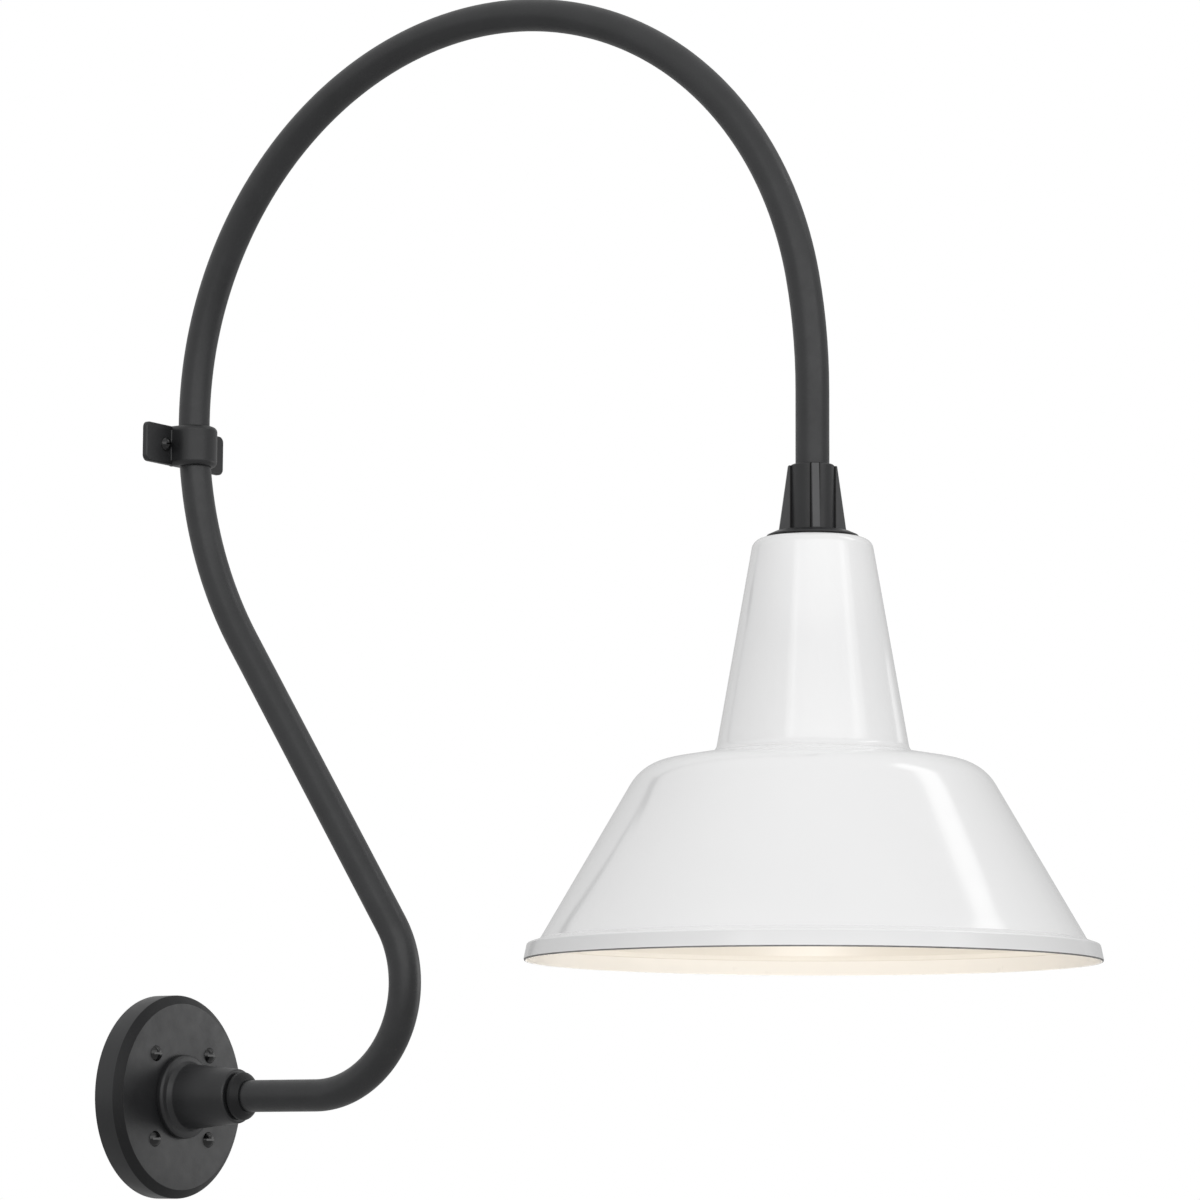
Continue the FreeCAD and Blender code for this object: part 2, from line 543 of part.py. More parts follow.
# slots for the tails of the two terminal plates
lampholder_body = lampholder_body.cut(Part.makeBox(1.1, 6.4, 14, V(XS + 9.2, -3.2, 300)))
lampholder_body = lampholder_body.cut(Part.makeBox(1.1, 6.4, 8, V(XS - 7.6, -3.2, 306)))
for sx in (-1, 1):
    lampholder_body = lampholder_body.cut(cyl(1.65, 6, V(XS + sx * 13.5, 0, BODY_TOP - 5), PZ))
save("lampholder_body", lampholder_body)

holder_screws = []
for sy in (-1, 1):
    s = cyl(1.95, z_s + 2.0 - FLG_Z, V(XS, sy * HOLDER_SCREW_Y, FLG_Z), PZ)
    hd = cyl(3.7, 2.6, V(XS, sy * HOLDER_SCREW_Y, FLG_Z - 2.6), PZ)
    hd = hd.makeFillet(1.0, [e for e in hd.Edges if abs(e.BoundBox.ZMin - (FLG_Z - 2.6)) < 1e-6 and e.BoundBox.ZLength < 1e-6])
    hd = hd.cut(Part.makeBox(9, 1.1, 1.3, V(XS - 4.5, sy * HOLDER_SCREW_Y - 0.55, FLG_Z - 2.6)))
    holder_screws.append(s.fuse(hd))
save("holder_screws", Part.makeCompound(holder_screws))


def thread_points(r_hi, r_lo, z_top, turns, fillet):
    pts = []
    z = z_top
    for k in range(turns):
        pts.append((r_hi, z - SHELL_PITCH * 0.25, fillet))
        pts.append((r_lo, z - SHELL_PITCH * 0.75, fillet))
        z -= SHELL_PITCH
    return pts


# socket's threaded shell, rolled rings, closed above by a flange with an opening
SH_TOP = 303.8
TH_TOP = 300.6
fem_out = thread_points(14.35, 13.7, TH_TOP, 6, 1.5)
fem_in = thread_points(13.95, 13.3, TH_TOP, 6, 1.5)
shell_bot = TH_TOP - 6 * SHELL_PITCH - 0.4
screw_shell = revolve_z(
    [(8.8, SH_TOP, 0), (14.1, SH_TOP, 0.5)] + fem_out + [(14.2, shell_bot, 0), (13.8, shell_bot, 0)]
    + fem_in[::-1] + [(13.7, SH_TOP - 0.45, 0.2), (8.8, SH_TOP - 0.45, 0)], XS)

shell_rivets = []
for sy in (-1, 1):
    s = cyl(1.2, BODY_TOP + 0.7 - (SH_TOP - 0.95), V(XS, sy * 11.6, SH_TOP - 0.95), PZ)
    s = s.fuse(cyl(1.9, 0.5, V(XS, sy * 11.6, SH_TOP - 0.95), PZ))
    s = s.fuse(cyl(1.9, 0.7, V(XS, sy * 11.6, BODY_TOP), PZ))
    shell_rivets.append(s)
screw_shell = screw_shell.cut(cyl(1.3, 3, V(XS, 11.6, SH_TOP - 2), PZ)).cut(cyl(1.3, 3, V(XS, -11.6, SH_TOP - 2), PZ))
save("screw_shell", screw_shell)
save("shell_rivets", Part.makeCompound(shell_rivets))

# terminal plates with tails through the porcelain
neutral_plate = Part.makeBox(8.0, 8.0, 0.9, V(XS + 9.35, -4.0, BODY_TOP)).fuse(
    Part.makeBox(0.8, 6.0, BODY_TOP - SH_TOP + 0.3, V(XS + 9.35, -3.0, SH_TOP)))
line_plate = Part.makeBox(10.0, 8.0, 0.9, V(XS - 17.45, -4.0, BODY_TOP)).fuse(
    Part.makeBox(0.8, 6.0, BODY_TOP - 308.5 + 0.3, V(XS - 7.45, -3.0, 308.5)).fuse(
        Part.makeBox(1.0, 6.0, 0.9, V(XS - 7.65, -3.0, BODY_TOP))))
neutral_plate = neutral_plate.cut(cyl(1.6, 4, V(XS + 13.5, 0, BODY_TOP - 1), PZ)).removeSplitter()
line_plate = line_plate.cut(cyl(1.6, 4, V(XS - 13.5, 0, BODY_TOP - 1), PZ)).removeSplitter()
save("terminal_plates", Part.makeCompound([neutral_plate, line_plate]))

terminal_screws = []
for sx in (-1, 1):
    hd = cyl(2.75, 2.0, V(XS + sx * 13.5, 0, BODY_TOP + 0.9), PZ)
    hd = hd.makeFillet(0.6, [e for e in hd.Edges if abs(e.BoundBox.ZMin - (BODY_TOP + 2.9)) < 1e-6 and e.BoundBox.ZLength < 1e-6])
    hd = hd.cut(Part.makeBox(8, 0.8, 1.0, V(XS + sx * 13.5 - 4, -0.4, BODY_TOP + 2.1)))
    terminal_screws.append(hd.fuse(cyl(1.5, 5.2, V(XS + sx * 13.5, 0, BODY_TOP - 4.3), PZ)))
save("terminal_screws", Part.makeCompound(terminal_screws))

# centre contact: fixed foot on the recess's ceiling and a sprung leaf below it
LEAF_PX, LEAF_PZ = -6.3, 305.6       # hinge line of the leaf, from the axis
contact_foot = Part.makeBox(2.6, 6.0, 2.2, V(XS - 7.6, -3.0, 306.3))
save("contact_foot", contact_foot)
contact_leaf = prism([(-7.4, 305.75, 0), (-5.4, 305.75, 0.3), (-0.6, 303.2, 1.2), (1.2, 302.95, 1.2), (3.4, 304.1, 0),
                      (3.2, 304.55, 0), (1.1, 303.45, 0.8), (-0.4, 303.7, 0.8), (-5.2, 306.2, 0.3), (-7.4, 306.2, 0)],
                     lambda x, z: V(XS + x, -2.6, z), V(0, 5.2, 0))
save("contact_leaf", contact_leaf)

# ------------------------------------------------------------------- wiring
WIRE_END_Z = 321.8
DROP = ("L", HOOK_END_Z - WIRE_END_Z)
LINE_MOVES = [("L", 20.0), ("A", 4.0, 90.0), ("L", BEND1_X - 9.5)] + ARM_MOVES + [
    DROP, ("A", 7.0, -90.0), ("L", 7.0)]
lead_line = sweep(path_segments((5.5, 24.0), 270.0, LINE_MOVES)[0], LEAD_R, 0, -LEAD_Y)
save("lead_line", lead_line)
NEUTRAL_MOVES = [("L", 20.0), ("A", 4.0, 90.0), ("L", BEND1_X - 9.5)] + ARM_MOVES + [
    DROP, ("A", 7.0, 90.0), ("L", 7.0)]
lead_neutral = sweep(path_segments((5.5, 24.0), 270.0, NEUTRAL_MOVES)[0], LEAD_R, 0, LEAD_Y)
save("lead_neutral", lead_neutral)
GROUND_MOVES = [("L", 9.5), ("A", 5.5, -90.0), ("L", BEND1_X - 9.5)] + ARM_MOVES + [
    ("L", HOOK_END_Z - 323.0), ("A", 4.0, -90.0), ("L", 5.0), ("A", 4.0, -90.0), ("L", 3.5)]
lead_ground = sweep(path_segments((4.0, -15.0), 90.0, GROUND_MOVES)[0], LEAD_R, 0, 0.0)
save("lead_ground", lead_ground)

wire_connectors = []
for sy in (-1, 1):
    c = cyl(3.0, 15.0, V(5.5, sy * LEAD_Y, 20.0), PZ)
    c = c.makeFillet(2.0, [e for e in c.Edges if abs(e.BoundBox.Center.z - 35.0) < 1e-6 and e.BoundBox.ZLength < 1e-6])
    c = c.cut(cyl(1.4, 4.1, V(5.5, sy * LEAD_Y, 20.0), PZ))
    wire_connectors.append(c)
save("wire_connectors", Part.makeCompound(wire_connectors))

# ring lugs at the two ends of the ground lead
lug1 = cyl(1.75, 4.5, V(4.0, 0, -15.0), V(0, 0, -1))
lug1 = lug1.fuse(prism([(-3.2, -28.0, 3.0), (3.2, -28.0, 3.0), (3.2, -20.0, 3.0), (1.5, -17.5, 0), (-1.5, -17.5, 0), (-3.2, -20.0, 3.0)],
                       lambda y, z: V(MP_T, y, z), V(0.9, 0, 0)))
lug1 = lug1.fuse(Part.makeBox(1.4, 2.4, 2.0, V(MP_T, -1.2, -19.5)))
lug1 = lug1.cut(cyl(1.95, 6, V(0, 0, GROUND_Z), PX))
lug2 = cyl(1.75, z_s - 0.9 - 326.5, V(XS - 13.0, 0, 326.5), PZ)
lug2 = lug2.fuse(prism([(-21.8, -3.2, 3.0), (-13.5, -3.2, 1.0), (-11.4, -1.6, 0.6), (-11.4, 1.6, 0.6), (-13.5, 3.2, 1.0), (-21.8, 3.2, 3.0)],
                       lambda x, y: V(XS + x, y, z_s - 0.9), V(0, 0, 0.9)))
lug2 = lug2.cut(cyl(1.7, 6, V(XS + GLUG_X, 0, z_s - 3), PZ))
save("ground_lugs", Part.makeCompound([lug1, lug2]))

ground_screw = cyl(1.75, MP_T + 0.9 - 0.4, V(0.4, 0, GROUND_Z), PX)
hd = cyl(3.6, 2.2, V(MP_T + 0.9, 0, GROUND_Z), PX)
hd = hd.makeFillet(0.6, [e for e in hd.Edges if abs(e.BoundBox.XMin - (MP_T + 3.1)) < 1e-6 and e.BoundBox.XLength < 1e-6])
hd = hd.cut(Part.makeBox(2, 9, 1.0, V(MP_T + 2.1, -4.5, GROUND_Z - 0.5)))
save("ground_screw", ground_screw.fuse(hd))

strap_ground_screw = cyl(1.5, 2.0 + 0.9 + 0.8, V(XS + GLUG_X, 0, z_s - 0.9), PZ)
hd = cyl(2.8, 2.0, V(XS + GLUG_X, 0, z_s - 2.9), PZ)
hd = hd.makeFillet(0.6, [e for e in hd.Edges if abs(e.BoundBox.ZMin - (z_s - 2.9)) < 1e-6 and e.BoundBox.ZLength < 1e-6])
hd = hd.cut(Part.makeBox(7, 0.8, 0.9, V(XS + GLUG_X - 3.5, -0.4, z_s - 2.9)))
save("strap_ground_screw", strap_ground_screw.fuse(hd))

# ---------------------------------------------------------------------- bulb
TIP_Z = 302.6
bulb_contact = revolve_z([(0, 300.4, 0), (4.6, 300.4, 0.3), (4.4, 301.3, 0.6), (2.6, TIP_Z, 1.4), (0, TIP_Z, 0)], XS)
save("bulb_contact", bulb_contact)
bulb_insulator = revolve_z([(0, 296.4, 0), (10.4, 296.4, 0), (9.6, 297.6, 0.6), (5.2, 300.4, 0.8), (0, 300.4, 0)], XS)
save("bulb_insulator", bulb_insulator)

B_TOP = 295.6
male_out = thread_points(12.95, 12.3, B_TOP, 5, 1.4)
male_in = thread_points(12.65, 12.0, B_TOP, 5, 1.4)
cap_bot = B_TOP - 5 * SHELL_PITCH - 4.6
bulb_screw_cap = revolve_z(
    [(9.2, 296.4, 0), (10.6, 296.4, 0.4), (12.5, B_TOP + 0.1, 0.4)] + male_out + [(13.0, cap_bot + 2.4, 0.6), (13.0, cap_bot, 0), (12.7, cap_bot, 0)]
    + [(12.7, cap_bot + 2.5, 0.4)] + male_in[::-1] + [(12.2, B_TOP - 0.1, 0.2), (10.5, 296.1, 0.3), (9.2, 296.1, 0)], XS)
save("bulb_screw_cap", bulb_screw_cap)

BC = BULB_BOTTOM_Z + BULB_R


def bulb_edges(d, top_r, top_z):
    """Globe arc, tangent flank and neck as smooth curves."""
    r = BULB_R - d
    a1 = math.radians(38)
    p0 = V(XS, 0, BC - r)
    pm = V(XS + r * math.cos(math.radians(-26)), 0, BC + r * math.sin(math.radians(-26)))
    p1 = V(XS + r * math.cos(a1), 0, BC + r * math.sin(a1))
    t1 = V(-math.sin(a1), 0, math.cos(a1))
    p2 = V(XS + top_r, 0, top_z)
    arc = Part.Arc(p0, pm, p1).toShape()
    L = 26.0
    curve = Part.BezierCurve()
    curve.setPoles([p1, p1 + t1 * L * 0.72, p2 - V(0, 0, 1) * L * 0.75, p2])
    return [arc, curve.toShape()], p0, p2


NECK_JOIN_Z = 268.0
GL_TOP = 277.5
eo, po0, po1 = bulb_edges(0.0, 12.35, NECK_JOIN_Z)
ei, pi0, pi1 = bulb_edges(0.8, 11.55, NECK_JOIN_Z)
q_o = V(XS + 12.35, 0, cap_bot)
q_o2 = V(XS + 11.4, 0, cap_bot + 2.0)
q_o3 = V(XS + 11.4, 0, GL_TOP + 4)
q_i3 = V(XS + 10.6, 0, GL_TOP + 4)
q_i2 = V(XS + 10.6, 0, cap_bot + 2.0)
q_i = V(XS + 11.55, 0, cap_bot)
wire = Part.Wire([Part.LineSegment(pi0, po0).toShape()] + eo + [
    Part.LineSegment(po1, q_o).toShape(), Part.LineSegment(q_o, q_o2).toShape(), Part.LineSegment(q_o2, q_o3).toShape(),
    Part.LineSegment(q_o3, q_i3).toShape(), Part.LineSegment(q_i3, q_i2).toShape(), Part.LineSegment(q_i2, q_i).toShape(),
    Part.LineSegment(q_i, pi1).toShape()] + [e for e in ei[::-1]])
bulb_glass = Part.Face(wire).revolve(V(XS, 0, 0), PZ, 360)
save("bulb_glass", bulb_glass)

bulb_stem = revolve_z([(0, 281.0, 0), (10.3, 281.0, 0.8), (9.6, 278.4, 1.0), (3.6, 268.0, 3.0), (3.0, 247.0, 1.0),
                       (0, 246.0, 0)], XS)
save("bulb_stem", bulb_stem)

# coiled filament drawn as one thin horseshoe rod between its two support wires
fil = []
FR = 11.0
FZ = 226.0
arc_a = Part.Arc(V(XS - FR, 0, FZ), V(XS, -FR, FZ + 2.5), V(XS + FR, 0, FZ)).toShape()
fil_path = Part.Wire([arc_a])
t0 = arc_a.tangentAt(arc_a.FirstParameter)
fil_circle = Part.Wire(Part.Circle(V(XS - FR, 0, FZ), t0, 0.45).toShape())
bulb_filament = fil_path.makePipeShell([fil_circle], True, True)
save("bulb_filament", bulb_filament)

support = []
for sx in (-1, 1):
    a = V(XS + sx * (FR + 0.2), 0, FZ - 0.9)
    b = V(XS + sx * 2.0, 0, 246.6)
    d = b - a
    s = cyl(0.4, d.Length, a + V(sx * 0.7, 0, 0), d)
    s = s.cut(bulb_stem)
    support.append(s.Solids[0] if len(s.Solids) == 1 else max(s.Solids, key=lambda q: q.Volume))
bulb_supports = Part.makeCompound([s.cut(bulb_filament).Solids[0] for s in support])
save("bulb_support_wires", bulb_supports)
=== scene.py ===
import bpy
import bmesh
import json
import math
from mathutils import Matrix, Vector


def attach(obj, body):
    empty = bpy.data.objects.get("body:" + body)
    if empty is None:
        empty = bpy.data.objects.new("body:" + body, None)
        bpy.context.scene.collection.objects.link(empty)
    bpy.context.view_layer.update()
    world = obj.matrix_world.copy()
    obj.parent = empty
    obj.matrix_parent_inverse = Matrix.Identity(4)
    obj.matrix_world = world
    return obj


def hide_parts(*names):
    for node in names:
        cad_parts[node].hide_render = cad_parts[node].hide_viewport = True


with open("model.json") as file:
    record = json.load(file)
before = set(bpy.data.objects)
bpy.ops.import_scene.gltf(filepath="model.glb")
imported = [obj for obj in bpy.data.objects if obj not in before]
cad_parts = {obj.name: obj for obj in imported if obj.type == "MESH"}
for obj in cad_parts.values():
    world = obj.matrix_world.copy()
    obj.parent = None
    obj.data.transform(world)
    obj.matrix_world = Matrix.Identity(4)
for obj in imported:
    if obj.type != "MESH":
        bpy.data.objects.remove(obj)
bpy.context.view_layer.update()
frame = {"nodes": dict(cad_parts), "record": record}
nodes = frame["nodes"]
MM = 0.001

# Barn light on its wall side at x = 0, +X out of the wall, +Z up. The numbers
# below repeat the model's dimensions in millimetres.
TUBE_R = 10.55
TUBE_START_X = 38.0
BEND1_X, BEND1_R = 131.7, 71.6
RISE_HEADING, RISE_LEN = 123.097, 230.763
HOOK_R1, HOOK_H1 = 277.907, 83.536
HOOK_R2, HOOK_H2 = 245.005, -78.869
HOOK_R3 = 381.494
TUBE_END_Z = 361.0
SHADE_T = 1.2
SHADE_TOP_Z = 339.6
RIM_TOP_Z, RIM_LEDGE_R, RIM_LEDGE_Z = 91.05, 175.4, 88.5
RIM_R, RIM_LIP_Z, RIM_BOTTOM_Z = 177.3, 79.3, 78.1
FIN_ANGLE = -51.9


# ================================================================= materials
class Mat:
    """A node material: one Principled shader fed by procedural textures in the object's own space."""

    def __init__(self, name, base, rough, metallic=0.0, specular=0.5, ior=1.5):
        self.m = bpy.data.materials.new(name)
        self.m.use_nodes = True
        self.nt = self.m.node_tree
        self.nt.nodes.clear()
        self.out = self.nt.nodes.new("ShaderNodeOutputMaterial")
        self.b = self.nt.nodes.new("ShaderNodeBsdfPrincipled")
        self.nt.links.new(self.b.outputs["BSDF"], self.out.inputs["Surface"])
        self.tc = self.nt.nodes.new("ShaderNodeTexCoord")
        self.b.inputs["Base Color"].default_value = (*base, 1)
        self.b.inputs["Roughness"].default_value = rough
        self.b.inputs["Metallic"].default_value = metallic
        self.b.inputs["Specular IOR Level"].default_value = specular
        self.b.inputs["IOR"].default_value = ior
        self.m.diffuse_color = (*base, 1)
        self.normal = None

    def link(self, a, b):
        self.nt.links.new(a, b)

    def mapped(self, scale=(1, 1, 1), rot=(0, 0, 0)):
        n = self.nt.nodes.new("ShaderNodeMapping")
        n.inputs["Scale"].default_value = scale
        n.inputs["Rotation"].default_value = rot
        self.link(self.tc.outputs["Object"], n.inputs["Vector"])
        return n.outputs["Vector"]

    def noise(self, scale, detail=2.0, rough=0.5, distortion=0.0, vec=None):
        n = self.nt.nodes.new("ShaderNodeTexNoise")
        n.inputs["Scale"].default_value = scale
        n.inputs["Detail"].default_value = detail
        n.inputs["Roughness"].default_value = rough
        n.inputs["Distortion"].default_value = distortion
        self.link(vec if vec is not None else self.tc.outputs["Object"], n.inputs["Vector"])
        return n.outputs["Fac"]

    def voronoi(self, scale, feature="F1", output="Distance", vec=None, smooth=0.4):
        n = self.nt.nodes.new("ShaderNodeTexVoronoi")
        n.feature = feature
        n.inputs["Scale"].default_value = scale
        if feature == "SMOOTH_F1":
            n.inputs["Smoothness"].default_value = smooth
        self.link(vec if vec is not None else self.tc.outputs["Object"], n.inputs["Vector"])
        return n.outputs[output]

    def wave(self, scale, direction="Z", distortion=0.0, kind="BANDS", detail=2.0, vec=None):
        n = self.nt.nodes.new("ShaderNodeTexWave")
        n.wave_type = kind
        if kind == "BANDS":
            n.bands_direction = direction
        else:
            n.rings_direction = direction
        n.inputs["Scale"].default_value = scale
        n.inputs["Distortion"].default_value = distortion
        n.inputs["Detail"].default_value = detail
        self.link(vec if vec is not None else self.tc.outputs["Object"], n.inputs["Vector"])
        return n.outputs["Fac"]

    def range(self, value, lo, hi, from_lo=0.0, from_hi=1.0):
        n = self.nt.nodes.new("ShaderNodeMapRange")
        n.inputs["From Min"].default_value = from_lo
        n.inputs["From Max"].default_value = from_hi
        n.inputs["To Min"].default_value = lo
        n.inputs["To Max"].default_value = hi
        self.link(value, n.inputs["Value"])
        return n.outputs["Result"]

    def math(self, op, a, b):
        n = self.nt.nodes.new("ShaderNodeMath")
        n.operation = op
        for i, v in enumerate((a, b)):
            if isinstance(v, (int, float)):
                n.inputs[i].default_value = v
            else:
                self.link(v, n.inputs[i])
        return n.outputs["Value"]

    def ramp(self, fac, stops):
        n = self.nt.nodes.new("ShaderNodeValToRGB")
        e = n.color_ramp.elements
        while len(e) < len(stops):
            e.new(0.5)
        for i, (p, c) in enumerate(stops):
            e[i].position = p
            e[i].color = (*c, 1)
        self.link(fac, n.inputs["Fac"])
        return n.outputs["Color"]

    def mix(self, fac, a, b):
        n = self.nt.nodes.new("ShaderNodeMix")
        n.data_type = "RGBA"
        self.link(fac, n.inputs["Factor"])
        for key, v in (("A", a), ("B", b)):
            s = [i for i in n.inputs if i.name == key and i.type == "RGBA"][0]
            if isinstance(v, tuple):
                s.default_value = (*v, 1)
            else:
                self.link(v, s)
        return [o for o in n.outputs if o.type == "RGBA"][0]

    def color(self, socket):
        self.link(socket, self.b.inputs["Base Color"])
        return self

    def rough(self, socket):
        self.link(socket, self.b.inputs["Roughness"])
        return self

    def bump(self, height, distance, strength=1.0):
        n = self.nt.nodes.new("ShaderNodeBump")
        n.inputs["Strength"].default_value = strength
        n.inputs["Distance"].default_value = distance
        self.link(height, n.inputs["Height"])
        if self.normal is not None:
            self.link(self.normal, n.inputs["Normal"])
        self.normal = n.outputs["Normal"]
        return self

    def done(self):
        if self.normal is not None:
            self.link(self.normal, self.b.inputs["Normal"])
        return self.m


def powder(name, tone, rough, grit=1500.0, height=0.000022, spec=0.42):
    """Satin black powder coat: fine orange peel, faint mottling in tone and gloss."""
    m = Mat(name, tone, rough, specular=spec)
    lo = tuple(c * 0.86 for c in tone)
    hi = tuple(c * 1.16 for c in tone)
    blotch = m.noise(38.0, 4.0, 0.6)
    m.color(m.ramp(blotch, [(0.3, lo), (0.7, hi)]))
    m.rough(m.range(m.noise(120.0, 3.0, 0.6), rough - 0.05, rough + 0.06, 0.3, 0.7))
    m.bump(m.noise(grit * 0.35, 2.0, 0.5), height * 1.5)
    m.bump(m.noise(grit, 2.0, 0.55), height)
    return m.done()


def make_materials():
    out = {}
    out["black_tube"] = powder("powder_black_tube", (0.0185, 0.019, 0.0202), 0.38, spec=0.48)
    # castings under the same coat: coarser skin and a little more waviness
    m = Mat("powder_black_casting", (0.016, 0.0164, 0.0175), 0.38, specular=0.46)
    m.color(m.ramp(m.noise(30.0, 5.0, 0.62), [(0.3, (0.0125, 0.0128, 0.0137)), (0.7, (0.0175, 0.0180, 0.0192))]))
    m.rough(m.range(m.noise(95.0, 4.0, 0.6), 0.33, 0.43, 0.3, 0.7))
    m.bump(m.noise(70.0, 2.0, 0.5), 0.00005)
    m.bump(m.noise(430.0, 3.0, 0.6), 0.00003)
    m.bump(m.noise(1500.0, 2.0, 0.55), 0.000022)
    out["black_casting"] = m.done()
    # turned bevel and collar: the casting's coat made darker and less reflective as painted shade
    m = Mat("powder_black_turned", (0.010, 0.0102, 0.011), 0.44, specular=0.24)
    m.color(m.ramp(m.noise(30.0, 5.0, 0.62), [(0.3, (0.0085, 0.0087, 0.0094)), (0.7, (0.0115, 0.0118, 0.0126))]))
    m.rough(m.range(m.noise(95.0, 4.0, 0.6), 0.40, 0.48, 0.3, 0.7))
    m.bump(m.noise(430.0, 3.0, 0.6), 0.00003)
    m.bump(m.noise(1500.0, 2.0, 0.55), 0.000022)
    out["black_turned"] = m.done()

    m = Mat("black_oxide_screws", (0.004, 0.0041, 0.0044), 0.13, metallic=0.0, specular=0.52)
    m.color(m.ramp(m.noise(160.0, 4.0, 0.6), [(0.32, (0.003, 0.003, 0.0033)), (0.7, (0.006, 0.0061, 0.0066))]))
    m.rough(m.range(m.noise(420.0, 4.0, 0.65), 0.09, 0.18, 0.3, 0.7))
    m.bump(m.noise(900.0, 3.0, 0.6), 0.00003)
    out["black_hardware"] = m.done()

    # gloss white enamel: slight orange peel under a clear, hard gloss
    m = Mat("white_enamel_outside", (0.815, 0.815, 0.815), 0.16, specular=0.5)
    m.color(m.ramp(m.noise(9.0, 3.0, 0.5), [(0.3, (0.807, 0.807, 0.809)), (0.7, (0.825, 0.825, 0.825))]))
    m.rough(m.range(m.noise(60.0, 4.0, 0.6), 0.13, 0.21, 0.3, 0.7))
    m.bump(m.noise(26.0, 1.0, 0.4), 0.00006)
    m.bump(m.noise(240.0, 2.0, 0.5), 0.000010)
    m.b.inputs["Coat Weight"].default_value = 0.9
    m.b.inputs["Coat Roughness"].default_value = 0.11
    out["white_enamel"] = m.done()
    # the flared band at the rim: the same enamel made darker as painted shade, and a little duller
    m = Mat("white_enamel_band_painted_shade", (0.68, 0.68, 0.68), 0.22, specular=0.45)
    m.color(m.ramp(m.noise(12.0, 3.0, 0.5), [(0.3, (0.67, 0.67, 0.673)), (0.7, (0.69, 0.69, 0.69))]))
    m.rough(m.range(m.noise(60.0, 4.0, 0.6), 0.19, 0.27, 0.3, 0.7))
    m.bump(m.noise(26.0, 1.0, 0.4), 0.00006)
    m.bump(m.noise(240.0, 2.0, 0.5), 0.000010)
    m.b.inputs["Coat Weight"].default_value = 0.35
    m.b.inputs["Coat Roughness"].default_value = 0.16
    out["white_band"] = m.done()
    m = Mat("cream_enamel_inside", (0.765, 0.706, 0.618), 0.34, specular=0.34)
    m.color(m.ramp(m.noise(9.0, 3.0, 0.5), [(0.3, (0.758, 0.697, 0.607)), (0.7, (0.772, 0.715, 0.629))]))
    m.rough(m.range(m.noise(80.0, 4.0, 0.6), 0.31, 0.37, 0.3, 0.7))
    m.bump(m.noise(300.0, 2.0, 0.5), 0.000014)
    out["cream_inside"] = m.done()
    # the rim's inner band: the cream made lighter, painted light where low light from the front falls on it
    m = Mat("cream_enamel_rim_painted_light", (0.96, 0.915, 0.845), 0.30, specular=0.40)
    m.color(m.ramp(m.noise(9.0, 3.0, 0.5), [(0.3, (0.955, 0.908, 0.836)), (0.7, (0.965, 0.922, 0.854))]))
    m.rough(m.range(m.noise(80.0, 4.0, 0.6), 0.27, 0.33, 0.3, 0.7))
    m.bump(m.noise(300.0, 2.0, 0.5), 0.000014)
    out["cream_rim"] = m.done()
    # the hem's lower edge: thin enamel over the steel, made dark grey as painted shade of the corner that faces down
    m = Mat("enamel_hem_edge_painted_shade", (0.14, 0.137, 0.134), 0.46, specular=0.3)
    m.color(m.ramp(m.noise(120.0, 4.0, 0.6), [(0.3, (0.10, 0.098, 0.096)), (0.7, (0.18, 0.176, 0.172))]))
    m.rough(m.range(m.noise(300.0, 3.0, 0.6), 0.34, 0.55, 0.3, 0.7))
    m.bump(m.noise(500.0, 3.0, 0.6), 0.00004)
    out["enamel_edge"] = m.done()

    m = Mat("closed_cell_foam", (0.020, 0.020, 0.021), 0.92, specular=0.2)
    cells = m.voronoi(1100.0, "F1")
    m.color(m.ramp(cells, [(0.0, (0.008, 0.008, 0.008)), (0.55, (0.032, 0.032, 0.033))]))
    m.rough(m.range(m.noise(500.0, 3.0), 0.85, 0.97))
    m.bump(cells, 0.00035)
    out["foam"] = m.done()

    m = Mat("gasket_rubber", (0.010, 0.010, 0.010), 0.62, specular=0.35)
    m.color(m.ramp(m.noise(300.0, 4.0, 0.6), [(0.3, (0.007, 0.007, 0.007)), (0.7, (0.014, 0.014, 0.0142))]))
    m.rough(m.range(m.noise(700.0, 3.0), 0.52, 0.72, 0.3, 0.7))
    m.bump(m.noise(1400.0, 3.0, 0.6), 0.00004)
    out["gasket_rubber"] = m.done()

    # zinc plated steel: fine spangle and rolling marks
    m = Mat("zinc_plated_steel", (0.56, 0.57, 0.59), 0.34, metallic=1.0)
    spangle = m.voronoi(420.0, "F1", "Color")
    tint = m.ramp(m.noise(55.0, 4.0, 0.6), [(0.28, (0.47, 0.485, 0.515)), (0.55, (0.58, 0.585, 0.59)), (0.8, (0.62, 0.605, 0.56))])
    m.color(m.mix(m.range(spangle, 0.0, 0.22), tint, (0.66, 0.67, 0.69)))
    m.rough(m.range(m.noise(300.0, 4.0, 0.65), 0.24, 0.46, 0.3, 0.7))
    m.bump(m.noise(1.0, 3.0, 0.6, vec=m.mapped((90.0, 2200.0, 90.0))), 0.000012)
    m.bump(m.noise(900.0, 2.0, 0.5), 0.000012)
    out["zinc_steel"] = m.done()

    m = Mat("green_dyed_steel", (0.035, 0.24, 0.09), 0.36, metallic=0.55)
    m.color(m.ramp(m.noise(180.0, 4.0, 0.6), [(0.3, (0.022, 0.17, 0.062)), (0.7, (0.05, 0.31, 0.12))]))
    m.rough(m.range(m.noise(420.0, 3.0), 0.28, 0.45, 0.3, 0.7))
    m.bump(m.noise(1200.0, 3.0, 0.6), 0.00002)
    out["green_steel"] = m.done()

